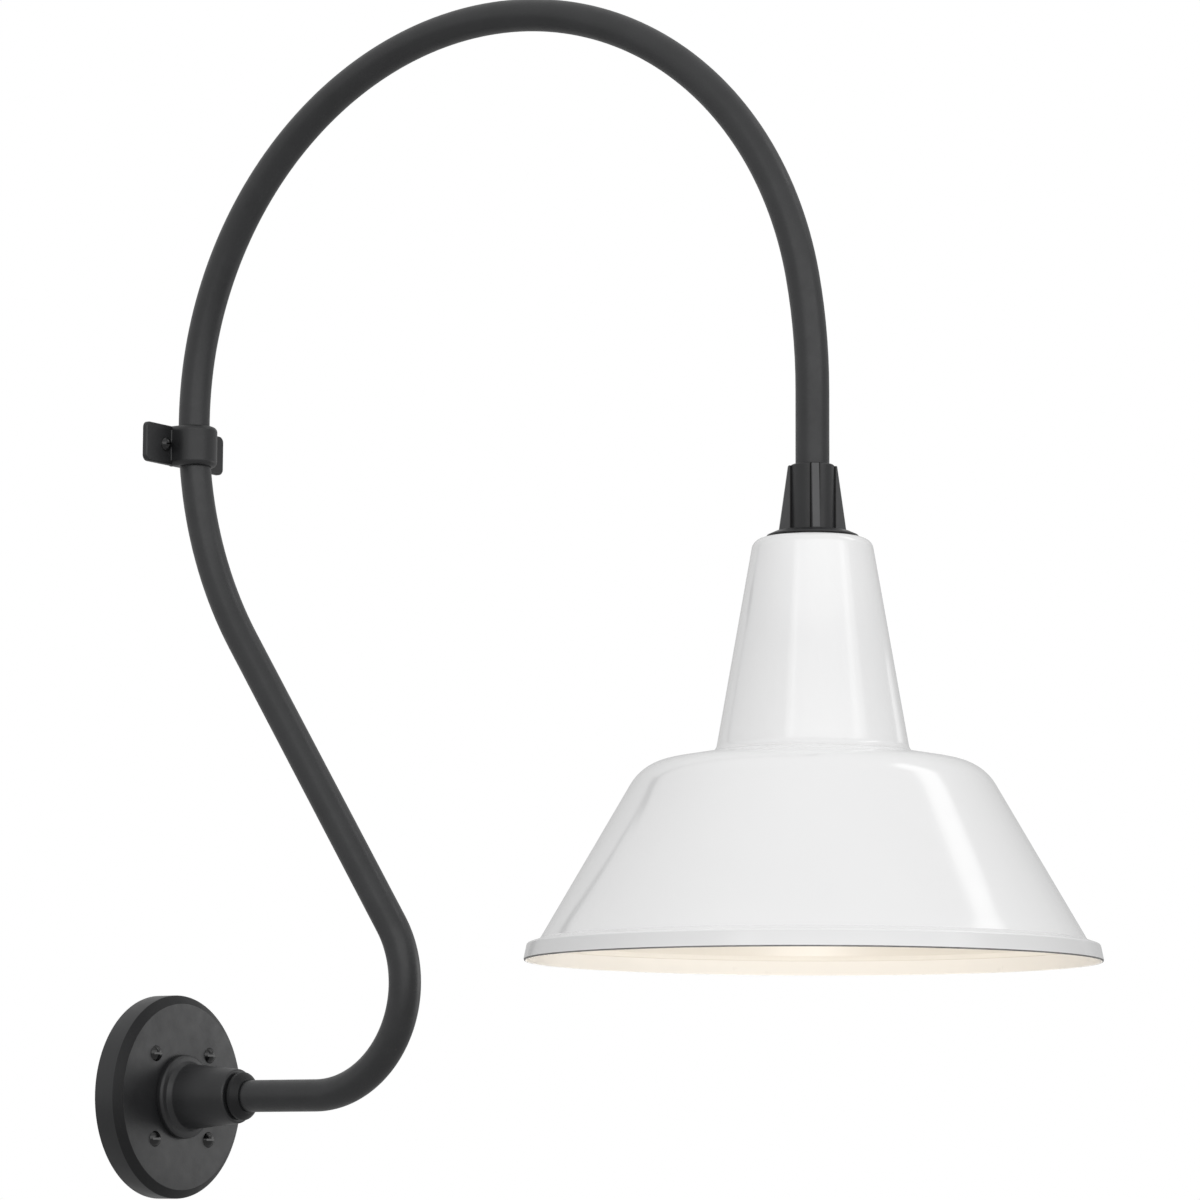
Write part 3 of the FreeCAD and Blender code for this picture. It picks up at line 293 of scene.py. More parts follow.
    m = Mat("satin_brass", (0.74, 0.53, 0.22), 0.30, metallic=1.0)
    m.color(m.ramp(m.noise(140.0, 5.0, 0.65), [(0.25, (0.56, 0.37, 0.14)), (0.5, (0.75, 0.54, 0.23)), (0.8, (0.82, 0.62, 0.30))]))
    m.rough(m.range(m.noise(500.0, 4.0, 0.6), 0.22, 0.42, 0.3, 0.7))
    m.bump(m.noise(1.0, 2.0, 0.5, vec=m.mapped((700.0, 700.0, 4200.0))), 0.000010)
    out["brass"] = m.done()

    m = Mat("nickel_plate", (0.66, 0.64, 0.60), 0.22, metallic=1.0)
    m.color(m.ramp(m.noise(120.0, 4.0, 0.6), [(0.3, (0.60, 0.575, 0.53)), (0.7, (0.70, 0.685, 0.65))]))
    m.rough(m.range(m.noise(380.0, 4.0, 0.65), 0.15, 0.32, 0.3, 0.7))
    m.bump(m.noise(1.0, 2.0, 0.5, vec=m.mapped((500.0, 500.0, 3000.0))), 0.000008)
    out["nickel"] = m.done()

    m = Mat("glazed_porcelain", (0.82, 0.805, 0.76), 0.13, specular=0.55)
    speck = m.voronoi(260.0, "F1")
    body = m.ramp(m.noise(45.0, 4.0, 0.6), [(0.3, (0.80, 0.78, 0.73)), (0.7, (0.85, 0.838, 0.80))])
    m.color(m.mix(m.range(speck, 0.5, 0.0, 0.02, 0.09), body, (0.55, 0.50, 0.42)))
    m.rough(m.range(m.noise(150.0, 3.0), 0.09, 0.22, 0.3, 0.7))
    m.bump(m.noise(110.0, 2.0, 0.5), 0.00006)
    m.bump(m.noise(800.0, 2.0, 0.5), 0.000010)
    out["porcelain"] = m.done()

    def plastic(name, lo, hi, rough, grain=1500.0):
        m = Mat(name, hi, rough, specular=0.45)
        m.color(m.ramp(m.noise(90.0, 4.0, 0.6), [(0.3, lo), (0.7, hi)]))
        m.rough(m.range(m.noise(400.0, 3.0), rough - 0.06, rough + 0.08, 0.3, 0.7))
        m.bump(m.noise(grain, 2.0, 0.6), 0.00003)
        return m.done()

    out["black_plastic"] = plastic("moulded_black_plastic", (0.012, 0.012, 0.012), (0.022, 0.022, 0.023), 0.48)
    out["grey_plastic"] = plastic("moulded_grey_plastic", (0.33, 0.33, 0.33), (0.40, 0.40, 0.405), 0.46)
    out["black_insulation"] = plastic("black_insulation", (0.010, 0.010, 0.010), (0.018, 0.018, 0.019), 0.40, 2600.0)
    out["white_insulation"] = plastic("white_insulation", (0.70, 0.70, 0.67), (0.78, 0.78, 0.76), 0.42, 2600.0)
    out["green_insulation"] = plastic("green_insulation", (0.020, 0.20, 0.055), (0.034, 0.27, 0.085), 0.42, 2600.0)

    m = Mat("tinned_contact", (0.60, 0.60, 0.60), 0.36, metallic=1.0)
    m.color(m.ramp(m.noise(500.0, 4.0, 0.6), [(0.3, (0.45, 0.45, 0.46)), (0.7, (0.68, 0.68, 0.68))]))
    m.rough(m.range(m.noise(900.0, 3.0), 0.26, 0.5, 0.3, 0.7))
    m.bump(m.noise(420.0, 3.0, 0.6), 0.00010)
    out["solder"] = m.done()

    m = Mat("vitreous_black", (0.008, 0.008, 0.010), 0.10, specular=0.6)
    m.color(m.ramp(m.noise(300.0, 4.0, 0.6), [(0.3, (0.005, 0.005, 0.006)), (0.7, (0.016, 0.016, 0.019))]))
    m.rough(m.range(m.noise(500.0, 3.0), 0.06, 0.2, 0.3, 0.7))
    m.bump(m.noise(380.0, 2.0, 0.5), 0.00007)
    out["black_glass"] = m.done()

    # bulb: glass frosted white on the inside, smooth outside
    m = Mat("frosted_bulb_glass", (0.90, 0.895, 0.87), 0.20, specular=0.5)
    m.color(m.ramp(m.noise(70.0, 4.0, 0.6), [(0.3, (0.875, 0.868, 0.835)), (0.7, (0.915, 0.912, 0.89))]))
    m.rough(m.range(m.noise(220.0, 3.0, 0.6), 0.16, 0.27, 0.3, 0.7))
    m.bump(m.noise(45.0, 2.0, 0.5), 0.00005)
    m.b.inputs["Transmission Weight"].default_value = 0.12
    m.b.inputs["Coat Weight"].default_value = 0.5
    m.b.inputs["Coat Roughness"].default_value = 0.05
    out["opal_glass"] = m.done()

    m = Mat("clear_stem_glass", (0.93, 0.96, 0.95), 0.04, ior=1.5)
    m.color(m.ramp(m.noise(120.0, 2.0), [(0.3, (0.90, 0.95, 0.94)), (0.7, (0.96, 0.98, 0.975))]))
    m.rough(m.range(m.noise(200.0, 2.0), 0.02, 0.07, 0.3, 0.7))
    m.bump(m.noise(160.0, 2.0, 0.5), 0.00008)
    m.b.inputs["Transmission Weight"].default_value = 0.92
    out["clear_glass"] = m.done()

    m = Mat("tungsten_coil", (0.16, 0.16, 0.165), 0.45, metallic=1.0)
    m.color(m.ramp(m.noise(900.0, 3.0), [(0.3, (0.10, 0.10, 0.105)), (0.7, (0.22, 0.22, 0.225))]))
    m.rough(m.range(m.noise(1500.0, 3.0), 0.35, 0.6, 0.3, 0.7))
    m.bump(m.wave(1600.0, "DIAGONAL"), 0.00008)
    out["tungsten"] = m.done()
    return out


mats = make_materials()


# ==================================================================== meshes
def rounded(pts, n=8, closed=True):
    """Points along an outline whose corners (u, v, radius) are rounded by arcs of n spans."""
    out = []
    count = len(pts)
    for i in range(count):
        u, v, r = pts[i]
        if r <= 0 or (not closed and i in (0, count - 1)):
            out.append((u, v))
            continue
        au, av = pts[i - 1][0], pts[i - 1][1]
        bu, bv = pts[(i + 1) % count][0], pts[(i + 1) % count][1]
        l1, l2 = math.hypot(au - u, av - v), math.hypot(bu - u, bv - v)
        d1 = ((au - u) / l1, (av - v) / l1)
        d2 = ((bu - u) / l2, (bv - v) / l2)
        ang = math.acos(max(-1.0, min(1.0, d1[0] * d2[0] + d1[1] * d2[1])))
        t = r / math.tan(ang / 2)
        bx, by = d1[0] + d2[0], d1[1] + d2[1]
        bl = math.hypot(bx, by)
        k = r / math.sin(ang / 2)
        cx, cy = u + bx / bl * k, v + by / bl * k
        a0 = math.atan2(v + d1[1] * t - cy, u + d1[0] * t - cx)
        a1 = math.atan2(v + d2[1] * t - cy, u + d2[0] * t - cx)
        da = (a1 - a0 + math.pi) % (2 * math.pi) - math.pi
        spans = max(2, int(n * abs(da) / (math.pi / 2) + 0.5)) if n > 2 else 2
        for k2 in range(spans + 1):
            a = a0 + da * k2 / spans
            out.append((cx + r * math.cos(a), cy + r * math.sin(a)))
    return out


def finish_mesh(name, bm, body, mat_list, node, sharp=32.0):
    bmesh.ops.remove_doubles(bm, verts=bm.verts, dist=1e-8)
    bmesh.ops.recalc_face_normals(bm, faces=bm.faces)
    limit = math.radians(sharp)
    for f in bm.faces:
        f.smooth = True
    for e in bm.edges:
        if len(e.link_faces) == 2:
            e.smooth = e.calc_face_angle(0.0) < limit
    me = bpy.data.meshes.new(name)
    bm.to_mesh(me)
    bm.free()
    for m in mat_list:
        me.materials.append(m)
    ob = bpy.data.objects.new(name, me)
    bpy.context.scene.collection.objects.link(ob)
    if node:
        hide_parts(*([node] if isinstance(node, str) else node))
    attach(ob, body)
    return ob


def lathe_into(bm, prof, place, seg, mat_of=None, closed=True):
    """Turns an outline (axial, radius) into faces; place(axial, radius, angle) gives the point in mm."""
    rings = []
    for (a, r) in prof:
        if r < 1e-6:
            rings.append([bm.verts.new(place(a, 0.0, 0.0))])
        else:
            rings.append([bm.verts.new(place(a, r, 2 * math.pi * k / seg)) for k in range(seg)])
    n = len(rings)
    for i in range(n if closed else n - 1):
        p, q = rings[i], rings[(i + 1) % n]
        if len(p) == 1 and len(q) == 1:
            continue
        for k in range(seg):
            k2 = (k + 1) % seg
            if len(p) == 1:
                vs = [p[0], q[k], q[k2]]
            elif len(q) == 1:
                vs = [p[k], q[0], p[k2]]
            else:
                vs = [p[k], q[k], q[k2], p[k2]]
            f = bm.faces.new(vs)
            if mat_of:
                f.material_index = mat_of(i)


def about_x(a, r, t):
    return Vector((a * MM, r * math.cos(t) * MM, r * math.sin(t) * MM))


def about_shade(a, r, t):
    return Vector(((XS + r * math.cos(t)) * MM, r * math.sin(t) * MM, a * MM))


def lathe(name, prof, place, seg, body, mat_list, node=None, mat_of=None, sharp=32.0):
    bm = bmesh.new()
    lathe_into(bm, prof, place, seg, mat_of)
    return finish_mesh(name, bm, body, mat_list, node, sharp)


def path_points(start, heading, moves, step=1.5):
    """Planar path in XZ as (x, z, heading) samples, tangent lines and arcs."""
    x, z = start
    h = math.radians(heading)
    pts = [(x, z, h)]
    for m in moves:
        if m[0] == "L":
            spans = max(1, int(m[1] / 30.0))
            for k in range(1, spans + 1):
                pts.append((x + m[1] * k / spans * math.cos(h), z + m[1] * k / spans * math.sin(h), h))
            x, z = pts[-1][0], pts[-1][1]
        else:
            r, turn = m[1], math.radians(m[2])
            s = 1 if turn > 0 else -1
            cx, cz = x - s * r * math.sin(h), z + s * r * math.cos(h)
            spans = max(2, int(abs(m[2]) / step))
            for k in range(1, spans + 1):
                g = h + turn * k / spans
                pts.append((cx + s * r * math.sin(g), cz - s * r * math.cos(g), g))
            h += turn
            x, z = pts[-1][0], pts[-1][1]
    return pts


ARM_MOVES = [("A", BEND1_R, RISE_HEADING), ("L", RISE_LEN), ("A", HOOK_R1, HOOK_H1 - RISE_HEADING),
             ("A", HOOK_R2, HOOK_H2 - HOOK_H1), ("A", HOOK_R3, -90.0 - HOOK_H2)]
# the hook ends straight down on the shade's axis
XS, HOOK_END_Z = path_points((BEND1_X, 0.0), 0.0, ARM_MOVES)[-1][:2]


def sweep_tube(name, pts, r_out, r_in, body, mat_list, node, seg=72):
    """Hollow tube along a planar path, closed by flat rings at both ends."""
    bm = bmesh.new()
    section = [(r_out, 0.0)]
    rings_o, rings_i = [], []
    for (x, z, h) in pts:
        n = Vector((-math.sin(h), 0, math.cos(h)))
        b = Vector((0, 1, 0))
        c = Vector((x, 0, z))
        rings_o.append([bm.verts.new((c + n * r_out * math.cos(2 * math.pi * k / seg) + b * r_out * math.sin(2 * math.pi * k / seg)) * MM)
                        for k in range(seg)])
        rings_i.append([bm.verts.new((c + n * r_in * math.cos(2 * math.pi * k / seg) + b * r_in * math.sin(2 * math.pi * k / seg)) * MM)
                        for k in range(seg)])
    for rings in (rings_o, rings_i):
        for i in range(len(rings) - 1):
            for k in range(seg):
                k2 = (k + 1) % seg
                bm.faces.new([rings[i][k], rings[i + 1][k], rings[i + 1][k2], rings[i][k2]])
    for end in (0, -1):
        for k in range(seg):
            k2 = (k + 1) % seg
            bm.faces.new([rings_o[end][k], rings_o[end][k2], rings_i[end][k2], rings_i[end][k]])
    return finish_mesh(name, bm, body, mat_list, node)


# ------------------------------------------------------------------- the arm
arm_pts = path_points((TUBE_START_X, 0.0), 0.0, [("L", BEND1_X - TUBE_START_X)] + ARM_MOVES + [("L", HOOK_END_Z - TUBE_END_Z)])
sweep_tube("arm", arm_pts, TUBE_R, TUBE_R - 1.6, "fixture", [mats["black_tube"]], "arm_tube")

# --------------------------------------------------------- backplate and hub
plate = rounded([
    (0.15, 62.2, 0), (0.15, 67.3, 0.5), (0.6, 67.7, 0.4), (15.6, 67.7, 1.3), (19.8, 62.2, 1.2),
    (19.8, 27.0, 0.3), (19.2, 26.4, 0.2), (19.2, 12.6, 0), (16.6, 12.6, 0), (16.6, 54.0, 1.5), (13.4, 57.0, 1.0),
    (2.5, 57.0, 0.4), (2.5, 62.2, 0.3)], 8)


def plate_side_of(i):
    """1 on the bevel between the plate's edge and its face."""
    (a0, r0), (a1, r1) = plate[i], plate[(i + 1) % len(plate)]
    return 1 if min(a0, a1) > 15.3 and min(r0, r1) > 61.9 and abs(a1 - a0) > 0.02 and abs(r1 - r0) > 0.05 else 0


# the bevel takes the darker painted-shade copy of the casting's coat
lathe("backplate_casting", plate, about_x, 256, "fixture", [mats["black_casting"], mats["black_turned"]], "backplate",
      mat_of=plate_side_of)

hub = rounded([
    (8.0, 7.5, 0.3), (8.0, 12.4, 0.4), (19.6, 12.4, 0), (19.6, 27.6, 0), (20.2, 27.9, 0.3), (24.2, 27.9, 2.4),
    (25.1, 23.5, 1.3), (28.2, 21.7, 2.8), (67.7, 17.95, 1.6), (67.7, 10.65, 0.3), (38.0, 10.65, 0), (38.0, 7.5, 0)], 10)
lathe("hub_casting", hub, about_x, 192, "fixture", [mats["black_casting"]], "hub")

collar = rounded([
    (67.7, 10.65, 0), (67.7, 14.0, 0), (69.6, 14.0, 0.4), (69.6, 15.9, 0.6), (72.1, 15.9, 1.6), (74.5, 13.8, 1.8),
    (76.4, 11.9, 0.6), (76.4, 10.65, 0)], 10)
# the collar takes the same painted-shade copy
lathe("collar_ring", collar, about_x, 160, "fixture", [mats["black_turned"]], "hub_collar")

# --------------------------------------------------------------------- shade
tan_d = math.tan(math.radians(10.07))


def neck_r(z, d=0.0):
    return 39.1 + 0.1745 * (325.85 - z) - d * math.sqrt(1 + 0.1745 ** 2)


def dome_z(r, d=0.0):
    return 206.8 - tan_d * (r - 59.85) - d * math.sqrt(1 + tan_d ** 2)


def skirt_r(z, d=0.0):
    return 166.45 + 0.5795 * (93.1 - z) - d * math.sqrt(1 + 0.5795 ** 2)


def corner(fr, d):
    z = 206.8
    for _ in range(200):
        r = fr(z, d)
        z = 0.5 * z + 0.5 * dome_z(r, d)
    return fr(z, d), z


no, so, ni, si = corner(neck_r, 0), corner(skirt_r, 0), corner(neck_r, SHADE_T), corner(skirt_r, SHADE_T)
ti = SHADE_TOP_Z - SHADE_T


def swap(pts):
    return [(z, r, k) for (r, z, k) in pts]


mid_lip = (RIM_LIP_Z + RIM_BOTTOM_Z) / 2 - 0.1
dark_z = RIM_BOTTOM_Z + 0.9
outer = swap([
    (8.9, SHADE_TOP_Z, 0), (neck_r(SHADE_TOP_Z), SHADE_TOP_Z, 7.2), (no[0], no[1], 6.4), (so[0], so[1], 30.6),
    (skirt_r(RIM_TOP_Z), RIM_TOP_Z, 0.8), (RIM_LEDGE_R, RIM_LEDGE_Z, 2.0), (RIM_R, RIM_LIP_Z, 0.9),
    (RIM_R - 0.25 * (RIM_LIP_Z - dark_z), dark_z, 0)])
# the hem's outer lower edge in dark grey: thin enamel there, darkened further as painted shade of the downward-facing
# corner
hem = swap([(RIM_R - 0.25 * (RIM_LIP_Z - dark_z), dark_z, 0), (RIM_R - 0.3, RIM_BOTTOM_Z, 0.5), (RIM_R - 0.95, RIM_BOTTOM_Z, 0)])
inner = swap([
    (RIM_R - 0.95, RIM_BOTTOM_Z, 0), (RIM_R - 1.65, RIM_BOTTOM_Z, 0.5), (RIM_R - 1.9, RIM_LIP_Z, 0.9), (RIM_LEDGE_R - 1.4, RIM_LEDGE_Z - 0.8, 0.9),
    (skirt_r(RIM_TOP_Z - 1.0, SHADE_T), RIM_TOP_Z - 1.0, 1.0), (si[0], si[1], 29.4), (ni[0], ni[1], 7.6),
    (neck_r(ti, SHADE_T), ti, 6.0), (8.9, ti, 0)])
po, ph, pi_ = (rounded(q, 16, closed=False) for q in (outer, hem, inner))


def split_long(p, longest):
    """Adds points on long straight spans, so that faces stay small along the profile."""
    out = [p[0]]
    for a, b in zip(p, p[1:]):
        d = math.hypot(b[0] - a[0], b[1] - a[1])
        k = max(1, int(d / longest))
        for i in range(1, k + 1):
            out.append((a[0] + (b[0] - a[0]) * i / k, a[1] + (b[1] - a[1]) * i / k))
    return out


po, pi_ = split_long(po, 9.0), split_long(pi_, 9.0)
# the flared band under the ledge starts at the first point below it
n_band = min(i for i, p in enumerate(po) if p[0] < RIM_LEDGE_Z - 0.6 and p[1] > RIM_LEDGE_R - 0.5)
shade_prof = po + ph[1:] + pi_[1:]
n_out, n_hem = len(po) - 1, len(po) + len(ph) - 2
n_lip = n_hem + min(j for j, p in enumerate(pi_) if p[0] > RIM_LEDGE_Z - 1.3)


def shade_side(i):
    if i < n_out or i >= len(shade_prof) - 1:
        return 3 if n_band <= i < n_out else 0
    if i < n_hem:
        return 2
    return 4 if i < n_lip else 1


lathe("shade_spinning", shade_prof, about_shade, 384, "fixture", [mats["white_enamel"], mats["cream_inside"], mats["enamel_edge"], mats["white_band"],
                                                                   mats["cream_rim"]], "shade", mat_of=shade_side, sharp=40.0)

gasket = rounded([(SHADE_TOP_Z, 9.2, 0), (SHADE_TOP_Z, 28.1, 0.35), (SHADE_TOP_Z + 1.1, 28.1, 0.35), (SHADE_TOP_Z + 1.1, 9.2, 0)], 6)
lathe("cap_gasket_ring", gasket, about_shade, 160, "fixture", [mats["gasket_rubber"]], "cap_gasket")


# ------------------------------------------------------------------- threads
def threaded(name, rows, radius, place, seg, body, mat_list, node, bore, sharp=40.0):
    """Tube whose outer wall carries a helical thread: radius(z, angle), rows are the z values, bore(z) the inner wall."""
    bm = bmesh.new()
    o = [[bm.verts.new(place(z, radius(z, 2 * math.pi * k / seg), 2 * math.pi * k / seg)) for k in range(seg)] for z in rows]
    i_ = [[bm.verts.new(place(z, bore(z, 2 * math.pi * k / seg), 2 * math.pi * k / seg)) for k in range(seg)] for z in rows]
    for rings in (o, i_):
        for a in range(len(rows) - 1):
            for k in range(seg):
                k2 = (k + 1) % seg
                bm.faces.new([rings[a][k], rings[a + 1][k], rings[a + 1][k2], rings[a][k2]])
    for end in (0, -1):
        for k in range(seg):
            k2 = (k + 1) % seg
            bm.faces.new([o[end][k], o[end][k2], i_[end][k2], i_[end][k]])
    return finish_mesh(name, bm, body, mat_list, node, sharp)


def smoothstep(x):
    x = max(0.0, min(1.0, x))
    return x * x * (3 - 2 * x)


NIP_Z0, NIP_Z1 = 322.6, 360.6


def nipple_radius(z, t):
    """27 threads to the inch, 60 degree flanks with a small flat, chamfered ends."""
    pitch = 0.941
    ph = ((z - pitch * t / (2 * math.pi)) / pitch) % 1.0
    tri = 1.0 - abs(2.0 * ph - 1.0)
    depth = 0.5 * max(0.0, min(1.0, (tri - 0.12) / 0.76))
    fade = smoothstep((z - NIP_Z0) / 0.8) * smoothstep((NIP_Z1 - z) / 0.8)
    return 8.3 - 0.5 + depth * fade


nz = [NIP_Z0 + (NIP_Z1 - NIP_Z0) * k / 310.0 for k in range(311)]
threaded("threaded_nipple", nz, nipple_radius, about_shade, 72, "fixture", [mats["zinc_steel"]], "nipple",
         lambda z, t: 6.4, 60.0)

PITCH = 3.629
CAP_TOP, CAP_BOT = 295.6, 295.6 - 5 * 3.629 - 4.6


def cap_radius(z, t, d=0.0):
    """Rolled round thread of a medium screw cap; right handed, fading out at both ends, skirt below."""
    wave = 0.5 + 0.5 * math.cos(2 * math.pi * (z - PITCH * t / (2 * math.pi)) / PITCH)
    fade = smoothstep((CAP_TOP - 0.2 - z) / 1.6) * smoothstep((z - (CAP_BOT + 3.2)) / 1.8)
    r = 12.28 + 0.64 * wave * fade
    if z < CAP_BOT + 3.4:
        r += (12.98 - 12.28) * smoothstep((CAP_BOT + 3.4 - z) / 1.2) * (1 - fade)
    if z > CAP_TOP - 0.6:
        r -= 1.9 * smoothstep((z - (CAP_TOP - 0.6)) / 1.4) ** 1.4
    return r - d


cz = [CAP_BOT + (296.35 - CAP_BOT) * k / 150.0 for k in range(151)]
threaded("bulb_cap_shell", cz, cap_radius, about_shade, 120, "bulb", [mats["nickel"]], "bulb_screw_cap",
         lambda z, t: cap_radius(z, t, 0.3), 60.0)


# ---------------------------------------------------------------------- bulb
def bulb_profile(d, n=26):
    r = 30.0 - d
    bc = 221.5
    pts = [(bc - r, 0.0)]
    a0, a1 = -90.0, 38.0
    for k in range(1, n + 1):
        a = math.radians(a0 + (a1 - a0) * k / n)
        pts.append((bc + r * math.sin(a), r * math.cos(a)))
    a1r = math.radians(a1)
    p1 = (r * math.cos(a1r), bc + r * math.sin(a1r))
    t1 = (-math.sin(a1r), math.cos(a1r))
    p2 = (12.35 - d, 268.0)
    L = 26.0
    c1 = (p1[0] + t1[0] * L * 0.72, p1[1] + t1[1] * L * 0.72)
    c2 = (p2[0], p2[1] - L * 0.75)
    for k in range(1, 23):
        s = k / 22.0
        b = [(1 - s) ** 3, 3 * s * (1 - s) ** 2, 3 * s * s * (1 - s), s ** 3]
        rr = b[0] * p1[0] + b[1] * c1[0] + b[2] * c2[0] + b[3] * p2[0]
        zz = b[0] * p1[1] + b[1] * c1[1] + b[2] * c2[1] + b[3] * p2[1]
        pts.append((zz, rr))
    return pts


glass_prof = bulb_profile(0.0) + [(272.4, 12.2), (273.6, 11.8), (276.0, 11.4), (281.4, 11.4)] + \
    [(281.4, 10.6), (276.0, 10.6), (273.6, 11.0), (272.4, 11.4)] + bulb_profile(0.8)[::-1]
lathe("bulb_envelope", glass_prof, about_shade, 128, "bulb", [mats["opal_glass"]], "bulb_glass")

# ---------------------------------------------- materials on the CAD's pieces
def cap_coat_painted_light(ob):
    """The casting's coat on the shade cap with painted light: lighter on the fins and lightest on their outer faces as
    a painted highlight, and near black in the creases at their roots as painted shade.
    """
    m = Mat("powder_black_cap_painted_light", (0.016, 0.0164, 0.0175), 0.38, specular=0.46)
    place = m.nt.nodes.new("ShaderNodeMapping")
    place.vector_type = "TEXTURE"
    place.inputs["Location"].default_value = ob.matrix_world.inverted() @ Vector((XS * MM, 0.0, 0.0))
    place.inputs["Rotation"].default_value = (0.0, 0.0, math.radians(FIN_ANGLE))
    m.link(m.tc.outputs["Object"], place.inputs["Vector"])
    axes = m.nt.nodes.new("ShaderNodeSeparateXYZ")
    m.link(place.outputs["Vector"], axes.inputs["Vector"])
    u, v = m.math("ABSOLUTE", axes.outputs["X"], 0.0), m.math("ABSOLUTE", axes.outputs["Y"], 0.0)
    aside, out = m.math("MINIMUM", u, v), m.math("MAXIMUM", u, v)
    above = m.range(axes.outputs["Z"], 0.0, 1.0, (SHADE_TOP_Z + 4.6) * MM, (SHADE_TOP_Z + 5.4) * MM)
    # fin and face mask the painted highlight on the fins and on their outer faces
    fin = m.math("MULTIPLY", above, m.range(out, 0.0, 1.0, 0.0139, 0.0145))
    face = m.math("MULTIPLY", fin, m.range(aside, 1.0, 0.0, 0.0019, 0.0024))
    # crease masks the painted shade in the creases at the fins' roots
    away = m.math("MAXIMUM", m.math("SUBTRACT", aside, 0.0025), 0.0)
    off = m.math("MAXIMUM", m.math("SUBTRACT", out, 0.0136), 0.0)
    crease = m.math("MULTIPLY", above, m.range(m.math("ADD", away, off), 1.0, 0.0, 0.0004, 0.0012))
    coat = m.ramp(m.noise(30.0, 5.0, 0.62), [(0.3, (0.0125, 0.0128, 0.0137)), (0.7, (0.0175, 0.0180, 0.0192))])
    # the painted highlight goes on first, then the painted shade in the creases
    coat = m.mix(fin, coat, (0.034, 0.0345, 0.036))
    coat = m.mix(face, coat, (0.064, 0.065, 0.067))
    m.color(m.mix(crease, coat, (0.002, 0.002, 0.002)))
    m.rough(m.math("MAXIMUM", m.range(m.noise(95.0, 4.0, 0.6), 0.33, 0.43, 0.3, 0.7), m.range(crease, 0.0, 0.9)))
    m.bump(m.noise(70.0, 2.0, 0.5), 0.00005)
    m.bump(m.noise(430.0, 3.0, 0.6), 0.00003)
    m.bump(m.noise(1500.0, 2.0, 0.55), 0.000022)
    return m.done()


for sp in frame["record"]["subparts"]:
    ob = nodes[sp["node"]]
    if ob.hide_render:
        continue
    ob.data.materials.clear()
    ob.data.materials.append(cap_coat_painted_light(ob) if sp["node"] == "shade_cap" else mats[sp["material_slot"]])

# ==================================================== floor, light and camera
bm = bmesh.new()
bmesh.ops.create_circle(bm, cap_ends=True, segments=128, radius=45.0)
me = bpy.data.meshes.new("floor")
bm.to_mesh(me)
bm.free()
floor = bpy.data.objects.new("floor", me)
floor.location = (0.3, 0, -4.0)
bpy.context.scene.collection.objects.link(floor)
m = Mat("pale_floor", (0.60, 0.60, 0.60), 0.8, specular=0.2)
m.color(m.ramp(m.noise(0.6, 3.0, 0.5), [(0.3, (0.595, 0.595, 0.595)), (0.7, (0.605, 0.605, 0.605))]))
me.materials.append(m.done())

world = bpy.data.worlds.new("studio")
bpy.context.scene.world = world
world.use_nodes = True
wn = world.node_tree
wn.nodes.clear()
w_out = wn.nodes.new("ShaderNodeOutputWorld")
w_seen = wn.nodes.new("ShaderNodeBackground")
w_seen.inputs["Color"].default_value = (1, 1, 1, 1)
w_seen.inputs["Strength"].default_value = 1.0
w_lit = wn.nodes.new("ShaderNodeBackground")
w_lit.inputs["Color"].default_value = (1, 1, 1, 1)
# a little brighter towards the front and above, darker behind and below
w_dir = wn.nodes.new("ShaderNodeTexCoord")
w_dot = wn.nodes.new("ShaderNodeVectorMath")
w_dot.operation = "DOT_PRODUCT"
w_dot.inputs[1].default_value = (0.06, -0.66, 0.75)
w_grad = wn.nodes.new("ShaderNodeMapRange")
w_grad.inputs["From Min"].default_value = -1.0
w_grad.inputs["From Max"].default_value = 1.0
w_grad.inputs["To Min"].default_value = 0.42
w_grad.inputs["To Max"].default_value = 0.92
wn.links.new(w_dir.outputs["Generated"], w_dot.inputs[0])
wn.links.new(w_dot.outputs["Value"], w_grad.inputs["Value"])
wn.links.new(w_grad.outputs["Result"], w_lit.inputs["Strength"])
w_path = wn.nodes.new("ShaderNodeLightPath")
w_mix = wn.nodes.new("ShaderNodeMixShader")
wn.links.new(w_path.outputs["Is Camera Ray"], w_mix.inputs["Fac"])
wn.links.new(w_lit.outputs["Background"], w_mix.inputs[1])
wn.links.new(w_seen.outputs["Background"], w_mix.inputs[2])
wn.links.new(w_mix.outputs["Shader"], w_out.inputs["Surface"])

TARGET = Vector((0.35, 0.0, 0.33))


def softbox(name, azimuth, elevation, dist, sx, sy, glow, aim=TARGET, spread=180.0):
    """Soft rectangle facing aim; azimuth in degrees from +X, anticlockwise seen from above; glow is its brightness."""
    a, e = math.radians(azimuth), math.radians(elevation)
    d = Vector((math.cos(a) * math.cos(e), math.sin(a) * math.cos(e), math.sin(e)))
    l = bpy.data.lights.new(name, "AREA")
    l.shape = "RECTANGLE"
    l.size, l.size_y = sx, sy
    l.energy = glow * math.pi * sx * sy
    l.spread = math.radians(spread)
    o = bpy.data.objects.new(name, l)
    o.location = aim + d * dist
    o.rotation_mode = "QUATERNION"
    o.rotation_quaternion = (-d).to_track_quat("-Z", "Y")
    bpy.context.scene.collection.objects.link(o)
    return o


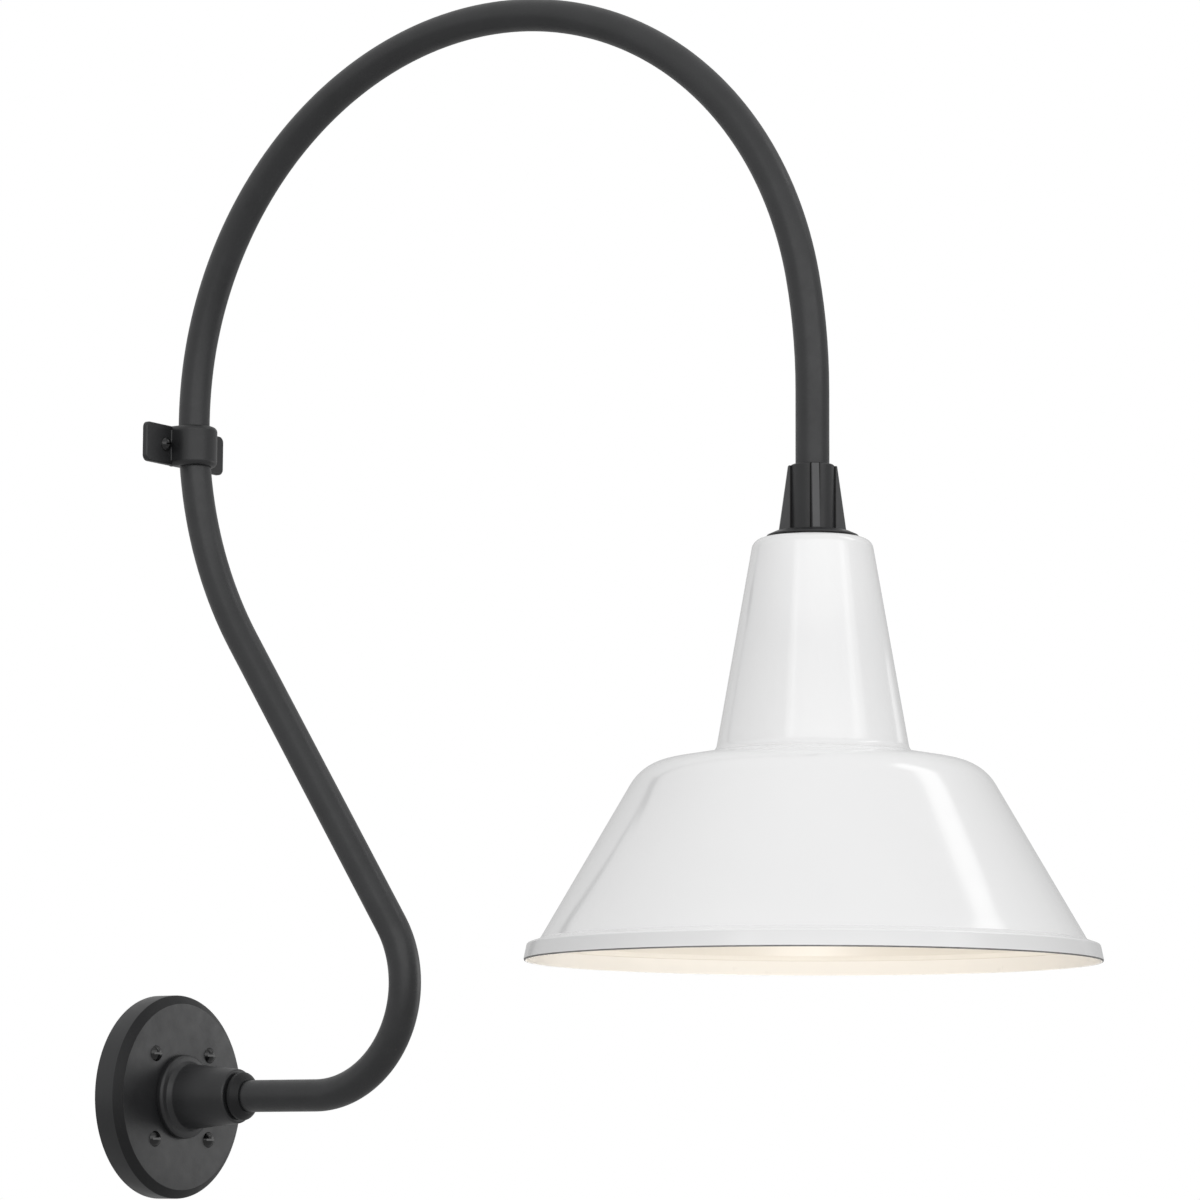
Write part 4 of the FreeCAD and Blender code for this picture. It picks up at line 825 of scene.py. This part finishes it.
softbox("key_front", -36.0, 17.0, 3.2, 6.4, 2.4, 0.84)
softbox("strip_left", -85.0, 25.0, 3.0, 0.50, 1.4, 0.8)
softbox("strip_right", 39.0, 47.0, 3.0, 0.60, 1.2, 1.5)
softbox("strip_side", -1.0, 24.0, 3.0, 0.40, 1.2, 0.7)
# beside the wall, seen only by the backplate and the arm near it
softbox("plate_side", 56.0, 7.0, 0.95, 0.62, 0.62, 0.16, Vector((0.02, 0.0, 0.0)), 60.0)
# from below into the shade; it lights only the shade, the lampholder and the bulb
inside_light = softbox("into_shade", -56.0, -62.0, 1.8, 0.8, 0.8, 1.20, Vector((XS * MM, 0.0, 0.11)), 50.0)
lit_inside = bpy.data.collections.new("lit_inside")
for name in ("shade_spinning", "bulb_envelope", "bulb_cap_shell", "threaded_nipple"):
    lit_inside.objects.link(bpy.data.objects[name])
for name in ("shade_washer", "nipple_locknuts", "holder_strap", "holder_screws", "lampholder_body", "screw_shell", "shell_rivets",
             "terminal_plates", "terminal_screws", "contact_foot", "contact_leaf", "bulb_contact", "bulb_insulator", "bulb_stem",
             "bulb_filament", "bulb_support_wires", "strap_ground_screw"):
    lit_inside.objects.link(nodes[name])
inside_light.light_linking.receiver_collection = lit_inside

cam_data = bpy.data.cameras.new("camera")
cam = bpy.data.objects.new("camera", cam_data)
bpy.context.scene.collection.objects.link(cam)
yaw, pitch, roll = 0.593645, 0.127279, 0.0047045
fwd = Vector((-math.sin(yaw) * math.cos(pitch), math.cos(yaw) * math.cos(pitch), math.sin(pitch)))
right = Vector((math.cos(yaw), math.sin(yaw), 0))
up = right.cross(fwd)
r2 = math.cos(roll) * right + math.sin(roll) * up
u2 = -math.sin(roll) * right + math.cos(roll) * up
cam.matrix_world = Matrix((
    (r2.x, u2.x, -fwd.x, 2.01485), (r2.y, u2.y, -fwd.y, -2.46004), (r2.z, u2.z, -fwd.z, -0.06745), (0, 0, 0, 1)))
cam_data.sensor_width = 36.0
cam_data.lens = 140.76
cam_data.clip_start, cam_data.clip_end = 0.1, 60.0
bpy.context.scene.camera = cam
bpy.context.scene.view_settings.view_transform = "Standard"
bpy.context.scene.view_settings.look = "None"
